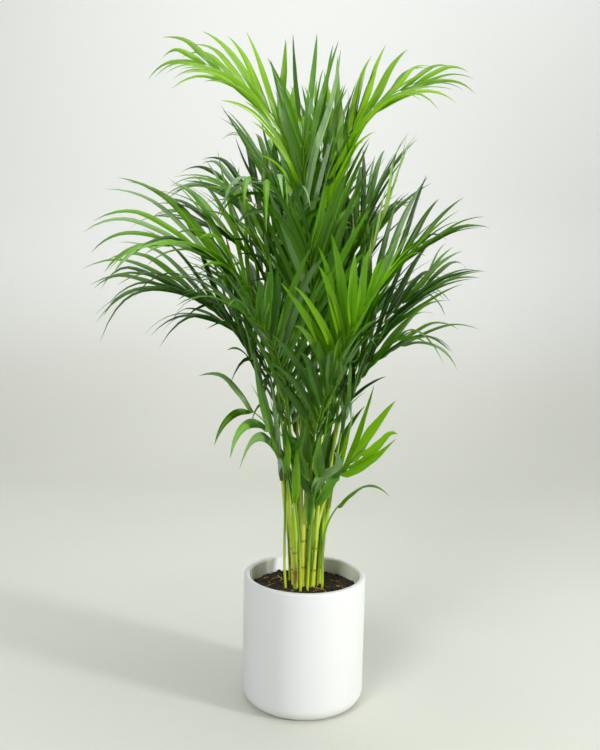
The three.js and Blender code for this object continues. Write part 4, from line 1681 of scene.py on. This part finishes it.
@dataclass
class Shoots:
    """Thin young stalks that rise among the canes and end in a closed spear.

    Attributes:
        canes: The canes they stand between.
        count: How many stand there.
        drawn: Places drawn for their feet, before those too near a cane are left out.
        reach: Furthest foot from the middle of the clump.
        room: Clear space kept round each foot.
        lean: How much further from the middle a shoot is for each metre of height.
        spear: Share of the height where the spear begins, and the share that it takes up.
        sides: Points round a shoot.
        steps: Rings along it.
    """

    canes: list[Cane]
    count: int = 11
    drawn: int = 900
    reach: float = 0.036
    room: float = 0.0042
    lean: float = 1.75
    spear: Span = (0.62, 0.38)
    sides: int = 8
    steps: int = 26

    def feet(self, rng: Any) -> Array:
        """Free places on the soil, taken in the order in which they are drawn.

        Args:
            rng: Source of the draws.

        Returns:
            X and Y of each foot.
        """
        stems = np.stack([cane.foot[:2] for cane in self.canes])
        girths = np.array([cane.foot_radius for cane in self.canes])
        ways = spokes(rng.uniform(0.0, TURN, self.drawn))[:, :2]
        radius = self.reach * np.sqrt(rng.uniform(0.0, 1.0, self.drawn))
        drawn = stems.mean(axis=0) + radius[:, None] * ways
        apart = np.linalg.norm(drawn[:, None] - stems, axis=2) - girths
        drawn = drawn[apart.min(axis=1) > self.room]
        kept = drawn[:1]
        for foot in drawn[1:]:
            if np.linalg.norm(kept - foot, axis=1).min() > 2.0 * self.room:
                kept = np.concatenate([kept, foot[None]])
        return kept[: self.count]

    def make(self, finish: Any) -> Any:
        """Builds the shoots as one piece.

        They lean outward as the canes do, by the same share of their distance from the
        middle, and taper to a point.

        Args:
            finish: Material of the shoots.

        Returns:
            The piece.
        """
        rng = np.random.default_rng(SHOOT_SEED)
        feet = self.feet(rng)
        n = len(feet)
        t = np.linspace(0.0, 1.0, self.steps)
        tall = rng.uniform(0.09, 0.235, n)
        rise = SOIL_EDGE + t * (tall[:, None] + SOIL_CROWN - SOIL_EDGE)
        lean = 1.0 + self.lean * (rise - SOIL_EDGE)
        sway = rng.normal(0.0, 0.004, (n, 2))[:, None] * (t**2)[:, None]
        flat = feet[:, None] * lean[..., None] + sway
        lines = np.concatenate([flat, rise[..., None]], axis=2)
        begin, length = self.spear
        spear = 1.0 - smooth((t - begin) / length) * 0.96
        radii = rng.uniform(0.0016, 0.0028, n)[:, None] * (1.0 - 0.35 * t) * spear
        return build("young_shoots", [thin_tubes(lines, radii, self.sides)], [finish], crease=50.0)


@dataclass
class YoungLeaves:
    """Undivided young leaves: one broad blade each on a thin stalk among the others.

    Attributes:
        middle: Middle of the clump, at height 0.
        count: How many there are.
        turn: Share of a turn from one foot to the next. The golden share spreads them evenly.
        reach: Furthest foot from the middle.
        spread: How much further from the middle a stalk is for each metre of height.
        steps: Rings along a stalk.
        sides: Points round it.
    """

    middle: Array
    count: int = 15
    turn: float = 0.381966
    reach: float = 0.034
    spread: float = 1.75
    steps: int = 24
    sides: int = 8

    def make(self, leaf: Any, stalk: Any) -> Any:
        """Builds the young leaves as one piece.

        The feet are spread evenly round the clump. A stalk rises and leans outward in a
        straight line. Its blade goes on in that line and bows outward near the point, with
        its upper face to the middle of the clump.

        Args:
            leaf: Material of the blades.
            stalk: Material of the stalks.

        Returns:
            The piece.
        """
        rng, n = np.random.default_rng(YOUNG_SEED), self.count
        out = spokes(TURN * (np.arange(n) + rng.uniform(-0.3, 0.3, n)) * self.turn)
        reach = self.reach * rng.uniform(0.35, 1.0, n)
        low = rng.uniform(0.40, 0.62, n)
        t = np.linspace(0.0, 1.0, self.steps)
        rise = SOIL_EDGE + t * (low[:, None] - SOIL_EDGE)
        away = reach[:, None] * (1.0 + self.spread * (rise - SOIL_EDGE))
        lines = self.middle + out[:, None] * away[..., None] + rise[..., None] * UP
        length = rng.uniform(0.15, 0.24, n)[:, None]
        lean = rng.uniform(0.08, 0.3, n)[:, None]
        part = np.array([0.0, 0.33, 0.68, 1.0])
        blades = lines[:, -1:] + UP * (length * part)[..., None]
        bowed = length * (lean * part + 0.22 * part**3)
        blades = blades + out[:, None] * bowed[..., None]
        face = unit(0.35 * UP - out + rng.normal(0.0, 0.35, (n, 3)))
        leaflets = Leaflets(blades, face, face, rng.uniform(0.017, 0.028, n))
        tones = rng.uniform(0.15, 0.75, n)
        limp = rng.uniform(0.0, 0.02, n)
        # Strength of the painted sheen on each young leaf.
        wax = rng.uniform(0.0, 0.4, n)
        patch = Blades(leaflets, tones, limp, wax, YOUNG_SEED + 1).patch()
        radii = rng.uniform(0.0018, 0.0026, n)[:, None] * (1.0 - 0.45 * t)
        thin = thin_tubes(lines, radii, self.sides, material=1)
        return build("young_leaves", [patch, thin], [leaf, stalk], crease=40.0)


@dataclass
class Litter:
    """Dry scraps on the soil and strips of husk on the canes.

    Attributes:
        soil: The soil they lie on.
        canes: The canes that shed them.
        straws: Number of straws on the soil, and sections of each.
        strips: Number of husk strips on the canes, and sections of each.
        rises: Height of a ribbon's four points, as shares of its half width.
        thick: Thickness of a ribbon.
    """

    soil: Soil
    canes: list[Cane]
    straws: tuple[int, int] = (46, 7)
    strips: tuple[int, int] = (16, 12)
    rises: tuple[float, ...] = (0.0, 0.3, 0.0, 0.12)
    thick: float = 0.0003

    def ribbons(self, lines: Array, normals: Array, widths: Array) -> Patch:
        """Thin curled ribbons.

        Args:
            lines: Middle of each ribbon, shape (n, stations, 3).
            normals: Upper side, the same shape.
            widths: Half width at each station, shape (n, stations).

        Returns:
            The patch.
        """
        tangents = unit(np.gradient(lines, axis=1))
        normals = across(normals, tangents)
        sides = np.cross(normals, tangents)
        spread = widths[..., None] * np.array([-1.0, 0.0, 1.0, 0.0])
        points = lines[:, :, None] + sides[:, :, None] * spread[..., None]
        rise = widths[..., None] * np.array(self.rises)
        points = points + normals[:, :, None] * rise[..., None]
        points[:, :, -1] -= normals * self.thick
        return tubes(points)

    def straw(self) -> Patch:
        """Bits of dry leaf and stalk that lie on the soil.

        Returns:
            The bits.
        """
        rng = np.random.default_rng(STRAW_SEED)
        n, stations = self.straws
        radius = 0.1 * np.sqrt(rng.uniform(0.02, 1.0, n))
        middle = radius[:, None] * spokes(rng.uniform(0.0, TURN, n))[:, :2]
        way = spokes(rng.uniform(0.0, TURN, n))[:, :2]
        length = rng.uniform(0.008, 0.034, n)[:, None]
        t = np.linspace(-0.5, 0.5, stations)
        flat = middle[:, None] + way[:, None] * (length * t)[..., None]
        bow = rng.uniform(-0.2, 0.2, n)[:, None] * length * (t**2)
        sideways = np.stack([-way[:, 1], way[:, 0]], axis=1)
        flat = flat + sideways[:, None] * bow[..., None]
        rise = 0.0016 + 0.12 * length * rng.uniform(0.0, 1.0, (n, 1)) * (0.25 - t**2)
        ground = self.soil.level(flat)
        height = ground.max(axis=1, keepdims=True) * 0.5 + ground * 0.5 + rise
        lines = np.concatenate([flat, height[..., None]], axis=2)
        tilt = unit(rng.normal(size=(n, 1, 3)) * 0.35 + UP)
        width = rng.uniform(0.0006, 0.0022, n)[:, None] * (1.0 - (2.0 * np.abs(t)) ** 3 * 0.8)
        return self.ribbons(lines, np.broadcast_to(tilt, lines.shape), width)

    def husk(self) -> Patch:
        """Papery strips that hug a cane and curl away at the top.

        Returns:
            The strips.
        """
        rng = np.random.default_rng(STRIP_SEED)
        n, stations = self.strips
        canes = [self.canes[i] for i in rng.integers(0, len(self.canes), n)]
        foot = np.stack([cane.foot for cane in canes])
        axis = np.stack([cane.top for cane in canes]) - foot
        radius = np.array([cane.foot_radius for cane in canes])[:, None]
        soil = ((SOIL_CROWN - foot[:, 2]) / axis[:, 2])[:, None]
        begin = soil + rng.uniform(-0.02, 0.3, (n, 1))
        span = rng.uniform(0.18, 0.42, (n, 1))
        t = np.linspace(0.0, 1.0, stations)
        share = np.minimum(begin + span * t, 0.97)
        out = spokes(rng.uniform(0.0, TURN, (n, 1)) + rng.uniform(-0.5, 0.5, (n, 1)) * t)
        lift = rng.uniform(0.0, 0.009, (n, 1)) * t**3
        away = radius * (1.06 - 0.12 * share) + 0.0006 + lift
        lines = foot[:, None] + share[..., None] * axis[:, None] + out * away[..., None]
        width = rng.uniform(0.0012, 0.0044, (n, 1)) * (1.0 - 0.9 * t**2)
        return self.ribbons(lines, out, width * (0.55 + 0.45 * smooth(6 * t)))

    def make(self, finish: Any) -> Any:
        """Builds the scraps as one piece."""
        return build("dry_scraps", [self.straw(), self.husk()], [finish], crease=60.0)


@dataclass
class Label:
    """The blank card on the inner wall: a thin curved sheet with round corners.

    Attributes:
        planter: The planter it leans on.
        start: Angle of its first edge in degrees from the X axis.
        end: Angle of its other edge.
        bottom: Height of its lower edge.
        top: Height of its upper edge.
        gap: Gap between it and the wall.
        thick: Thickness.
        corner: Radius of its corners.
        corner_steps: Rows in a corner.
        steps: Rows between the corners, with one row of each.
        columns: Points along a row.
    """

    planter: Planter
    start: float = 90.0
    end: float = 130.0
    bottom: float = 0.260
    top: float = 0.2935
    gap: float = 0.0008
    thick: float = 0.0006
    corner: float = 0.004
    corner_steps: int = 7
    steps: int = 6
    columns: int = 33

    def make(self, finish: Any) -> Any:
        """Bends a flat card round the wall.

        The card is an array of squares in (u, v). Where a row lies within a corner's radius
        of the top or bottom, it is shortened to follow the quarter circle.

        Args:
            finish: Material of the card.

        Returns:
            The card.
        """
        radius = self.planter.inside - self.gap
        width = math.radians(self.end - self.start) * radius
        height = self.top - self.bottom
        quarter = np.linspace(0.0, TURN / 4.0, self.corner_steps)
        near = self.corner * (1.0 - np.cos(quarter))
        between = np.linspace(self.corner, height - self.corner, self.steps)[1:-1]
        v = np.concatenate([near, between, height - near[::-1]])
        depth = np.clip(self.corner - np.minimum(v, height - v), 0.0, self.corner)
        inset = (self.corner - np.sqrt(self.corner**2 - depth**2))[:, None]
        along = inset + (width - 2.0 * inset) * np.linspace(0.0, 1.0, self.columns)
        out = spokes(math.radians(self.start) + along / radius)
        rise = (v + self.bottom)[:, None, None] * UP
        back, front = radius * out + rise, (radius - self.thick) * out + rise
        ring = np.concatenate([front, back[:, ::-1]], axis=1)
        return build("blank_card", [tubes(ring)], [finish], crease=40.0)


# ---------------------------------------------------------------- the palm


LEAVES = {
    # Each finish's wax colour is a painted sheen: pale silvery green for light glinting on
    # leaflets.
    Slot.LEAF: LeafFinish(
        name="leaf_green", old=srgb(4, 44, 0), young=srgb(124, 190, 0),
        below=srgb(80, 132, 36), wax=srgb(176, 206, 156), lit=srgb(112, 200, 0),
        through=0.28, rough=0.3,
    ),
    # A lit copy of the green leaf: painted light, paler and yellower, for fronds that catch the
    # light.
    Slot.BRIGHT_LEAF: LeafFinish(
        name="leaf_bright", old=srgb(20, 84, 0), young=srgb(164, 214, 8),
        below=srgb(124, 176, 40), wax=srgb(176, 208, 116), lit=srgb(176, 234, 0),
        through=0.44, rough=0.3,
    ),
    Slot.NEW_LEAF: LeafFinish(
        name="leaf_new", old=srgb(118, 166, 48), young=srgb(196, 224, 132),
        below=srgb(170, 204, 112), wax=srgb(200, 222, 150), lit=srgb(186, 228, 90),
        through=0.36, rough=0.4,
    ),
}
# Tone of each frond's leaflets, from 0 for old and dark to 1 for new and pale. Besides age, the
# tones paint shade and light: fronds low down and at the back are set darker, those at the top
# paler.
AGES_AND_LIGHT = {
    "top_left": 0.85,
    "top_right": 0.8,
    "top_middle_right": 0.6,
    "top_middle_left": 0.75,
    "upper_left_back": 0.25,
    "middle_left": 0.3,
    "front_drooping": 0.5,
    "big_left": 0.6,
    "outer_left": 0.35,
    "lower_left_arcs": 0.3,
    "lower_left_curls": 0.45,
    "lower_left_upright": 0.3,
    "middle_right": 0.4,
    "lower_right_thin": 0.35,
    "lower_right": 0.3,
    "lowest_right": 0.75,
    "front_right": 0.7,
    "front_middle": 0.55,
    "front_low": 0.4,
    "front_left": 0.45,
    "lowest_middle": 0.6,
    "back_right": 0.3,
    "back_tall": 0.5,
    "back_tall_left": 0.5,
    "back_far_right": 0.35,
    "back_far": 0.35,
    "back_low_left": 0.3,
    "back_low_right": 0.3,
    "new_leaf": 0.95,
    "young_leaf": 0.4,
    "young_middle": 0.6,
    "young_left": 0.5,
}
# Fronds with leaflets of another slot than the common green one. The bright slot is painted light:
# a paler, yellower copy of the green leaf for fronds that catch the light.
LEAF_SLOTS = {
    "new_leaf": Slot.NEW_LEAF,
    "top_left": Slot.BRIGHT_LEAF,
    "top_right": Slot.BRIGHT_LEAF,
    "lowest_right": Slot.BRIGHT_LEAF,
    "front_right": Slot.BRIGHT_LEAF,
    "young_left": Slot.BRIGHT_LEAF,
}
# Fronds near the soil, whose few leaflets are broad and stiff.
BROAD = (
    "lowest_right", "lowest_middle", "lower_left_curls", "lower_left_upright",
    "young_leaf", "young_middle", "young_left",
)
# Fronds on which most leaflets get a painted sheen.
PAINTED_SHEEN_FRONDS = ("front_drooping", "lower_left_curls", "young_leaf")


@dataclass
class Palm:
    """The whole plant in its planter.

    Attributes:
        broad: Width and droop of broad, stiff leaflets.
        waxy: Share of leaflets with a painted sheen on such a frond.
        joint: Greatest distance from a cane's top to the foot of a stalk on it.
    """

    broad: Span = (1.2, 0.3)
    waxy: float = 0.6
    joint: float = 0.01

    def habit(self, name: str) -> Habit:
        """How the leaflets of the named frond vary.

        Args:
            name: Name of the frond.

        Returns:
            Its habit.
        """
        habit = Habit()
        if name in BROAD:
            slim, limp = self.broad
            habit = replace(habit, slim=slim, limp=limp)
        if name in PAINTED_SHEEN_FRONDS:
            habit = replace(habit, waxy=self.waxy)
        return habit

    def dress(self) -> None:
        """Builds every piece with its finish."""
        stalk = StalkFinish(
            name="stalk", foot=srgb(206, 226, 44), top=srgb(86, 144, 8)
        ).material()
        leaves = {slot: finish.material() for slot, finish in LEAVES.items()}
        ground = self.dress_planter()
        fronds = [
            Frond(name, age, number, self.habit(name))
            for number, (name, age) in enumerate(AGES_AND_LIGHT.items())
        ]
        for frond in fronds:
            slot = LEAF_SLOTS.get(frond.name, Slot.LEAF)
            finish_piece(frond.make(leaves[slot], stalk), [frond.node])
        canes = self.dress_canes(fronds)
        finish_piece(Shoots(canes).make(stalk), [])
        middle = np.mean([cane.foot * LEVEL for cane in canes], axis=0)
        young = YoungLeaves(middle).make(leaves[Slot.LEAF], stalk)
        finish_piece(young, [])
        husk = HuskFinish(name="dry_husk", dark=srgb(118, 84, 42), pale=srgb(196, 164, 98))
        finish_piece(Litter(ground, canes).make(husk.material()), [])

    @staticmethod
    def dress_planter() -> Soil:
        """Builds the planter, its soil and the card.

        Returns:
            The soil.
        """
        planter = Planter()
        ground = Soil(planter)
        glaze = GlazeFinish(
            name="white_glaze", white=srgb(226, 228, 229), cloud=srgb(219, 221, 222),
            dust=srgb(190, 187, 178), inside=srgb(244, 245, 238), inner=planter.inside,
        )
        soil = SoilFinish(
            name="soil", wet=srgb(22, 19, 10), dry=srgb(78, 66, 44),
            grain=srgb(158, 147, 120),
        )
        card = CardFinish(name="card", white=srgb(250, 251, 253), shade=srgb(230, 234, 240))
        finish_piece(planter.make(glaze.material()), ["pot"])
        finish_piece(ground.make(soil.material()), ["soil"])
        finish_piece(Label(planter).make(card.material()), ["label"])
        return ground

    def dress_canes(self, fronds: list[Frond]) -> list[Cane]:
        """Builds the canes, each with the fronds whose stalks stand on its top.

        Args:
            fronds: All fronds.

        Returns:
            The canes.
        """
        nodes = sorted(name for name in frame["nodes"] if name.startswith("cane_"))
        canes = [Cane(node, number, []) for number, node in enumerate(nodes)]
        tops = np.stack([cane.top for cane in canes])
        for frond in fronds:
            gaps = np.linalg.norm(tops - frond.packed.centres[0], axis=1)
            if gaps.min() < self.joint:
                canes[int(np.argmin(gaps))].fronds.append(frond)
        finish = CaneFinish(
            name="cane", green=srgb(146, 188, 12), yellow=srgb(255, 246, 92),
            scar=srgb(104, 84, 36), husk=srgb(142, 104, 54),
        ).material()
        for cane in canes:
            finish_piece(cane.make(finish), [cane.node])
        return canes


# ---------------------------------------------------------------- stage, light and camera


@dataclass(frozen=True)
class Lamp:
    """A square soft lamp.

    Attributes:
        name: Name of the lamp.
        place: Where it hangs.
        aim: Point that it faces.
        size: Length of a side.
        watts: Power.
        colour: Colour of the light.
        spread: Degrees over which the light fans out.
    """

    name: str
    place: Place
    aim: Place
    size: float
    watts: float
    colour: Colour = (1.0, 1.0, 1.0)
    spread: float = 180.0

    def hang(self) -> None:
        """Adds the lamp to the scene."""
        data = bpy.data.lights.new(self.name, "AREA")
        data.shape = "SQUARE"
        data.size = self.size
        data.energy = self.watts
        data.spread = math.radians(self.spread)
        data.color = self.colour
        lamp = bpy.data.objects.new(self.name, data)
        lamp.location = self.place
        ahead = Vector(self.aim) - Vector(self.place)
        lamp.rotation_euler = ahead.to_track_quat("-Z", "Y").to_euler()
        bpy.context.scene.collection.objects.link(lamp)


# Low window light from the right, soft front and top light, and a light for the wall.
LAMPS = (
    Lamp(
        name="window", place=(4.6, -2.3, 1.5), aim=(0.0, 0.0, 0.6), size=0.7, watts=34.0,
        colour=(1.0, 0.985, 0.95), spread=75.0,
    ),
    Lamp(name="softbox", place=(-1.4, -2.7, 2.6), aim=(0.0, 0.1, 0.8), size=1.2, watts=57.0),
    Lamp(
        name="skylight", place=(0.2, -0.4, 3.6), aim=(0.1, 0.2, 0.0), size=3.0, watts=18.0,
        colour=(1.0, 1.0, 0.99),
    ),
    Lamp(name="wall_light", place=(0.5, 0.6, 4.7), aim=(0.5, 3.7, 0.9), size=4.2, watts=120.0),
)


@dataclass
class Studio:
    """Pale floor that sweeps up into a wall, soft daylight from the right, and the camera.

    Attributes:
        wall: Distance of the wall behind the plant.
        sweep: Radius of the bend between floor and wall.
        bends: Points round the bend.
        reach: Half width of the floor.
        columns: Points across the floor.
        near: Front edge of the floor.
        tall: Height of the wall.
        air: Colour of the light from all round.
        glow: Strength of that light.
        place: Place of the camera.
        lens: Its focal length in millimetres.
        sensor: Width of its sensor in millimetres.
        tilt: Radians by which it looks down.
        roll: Radians by which it leans sideways.
    """

    wall: float = 3.7
    sweep: float = 1.6
    bends: int = 25
    reach: float = 6.0
    columns: int = 3
    near: float = -5.0
    tall: float = 5.0
    air: Colour = (0.95, 0.97, 0.98)
    glow: float = 0.25
    place: Place = (-0.021, -1.870, 0.942)
    lens: float = 39.94
    sensor: float = 36.0
    tilt: float = 0.1
    roll: float = 0.0224

    def backdrop(self) -> None:
        """A floor, a bend of a quarter circle and a wall as one sheet."""
        bend = np.linspace(-TURN / 4.0, 0.0, self.bends)
        low_y = self.wall - self.sweep + self.sweep * np.cos(bend)
        y = np.concatenate([[self.near], low_y, [self.wall]])[:, None]
        z = np.concatenate([[0.0], self.sweep + self.sweep * np.sin(bend), [self.tall]])[:, None]
        x = np.linspace(-self.reach, self.reach, self.columns)
        points = np.stack(np.broadcast_arrays(x, y, z), axis=2)
        finish = BackdropFinish(
            name="backdrop", wall=srgb(243, 244, 242), floor=srgb(210, 212, 202)
        ).material()
        faces = grid_faces(len(y), self.columns, closed=False)
        patch = Patch(points.reshape(-1, 3), [faces])
        build("backdrop", [patch], [finish], crease=60.0)

    def lights(self) -> None:
        """The lamps, and a weak light from all round."""
        for lamp in LAMPS:
            lamp.hang()
        world = bpy.data.worlds.new("surroundings")
        world.use_nodes = True
        background = world.node_tree.nodes["Background"]
        background.inputs["Color"].default_value = (*self.air, 1.0)
        background.inputs["Strength"].default_value = self.glow
        bpy.context.scene.world = world

    def camera(self) -> None:
        """The camera at the photograph's height and distance."""
        data = bpy.data.cameras.new("camera")
        data.lens = self.lens
        data.sensor_width = self.sensor
        camera = bpy.data.objects.new("camera", data)
        camera.location = self.place
        tilt = Euler((math.radians(90.0) - self.tilt, 0.0, 0.0)).to_matrix()
        camera.rotation_euler = (tilt @ Matrix.Rotation(self.roll, 3, "Z")).to_euler()
        bpy.context.scene.collection.objects.link(camera)
        bpy.context.scene.camera = camera

    @staticmethod
    def colours() -> None:
        """Plain colour handling, so that the pale backdrop stays pale."""
        view = bpy.context.scene.view_settings
        view.view_transform = "Standard"
        view.look = "None"
        view.exposure = 0.0


def clear_startup() -> None:
    """Removes what a new Blender file holds beside the frame."""
    for thing in list(bpy.data.objects):
        ours = thing.get("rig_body") or thing.name.startswith("body:")
        if not ours:
            bpy.data.objects.remove(thing)


def main() -> None:
    logging.basicConfig(level=logging.INFO, format="%(message)s")
    clear_startup()
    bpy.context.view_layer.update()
    studio = Studio()
    studio.camera()
    studio.backdrop()
    studio.lights()
    studio.colours()
    Palm().dress()


if __name__ == "__main__":
    main()
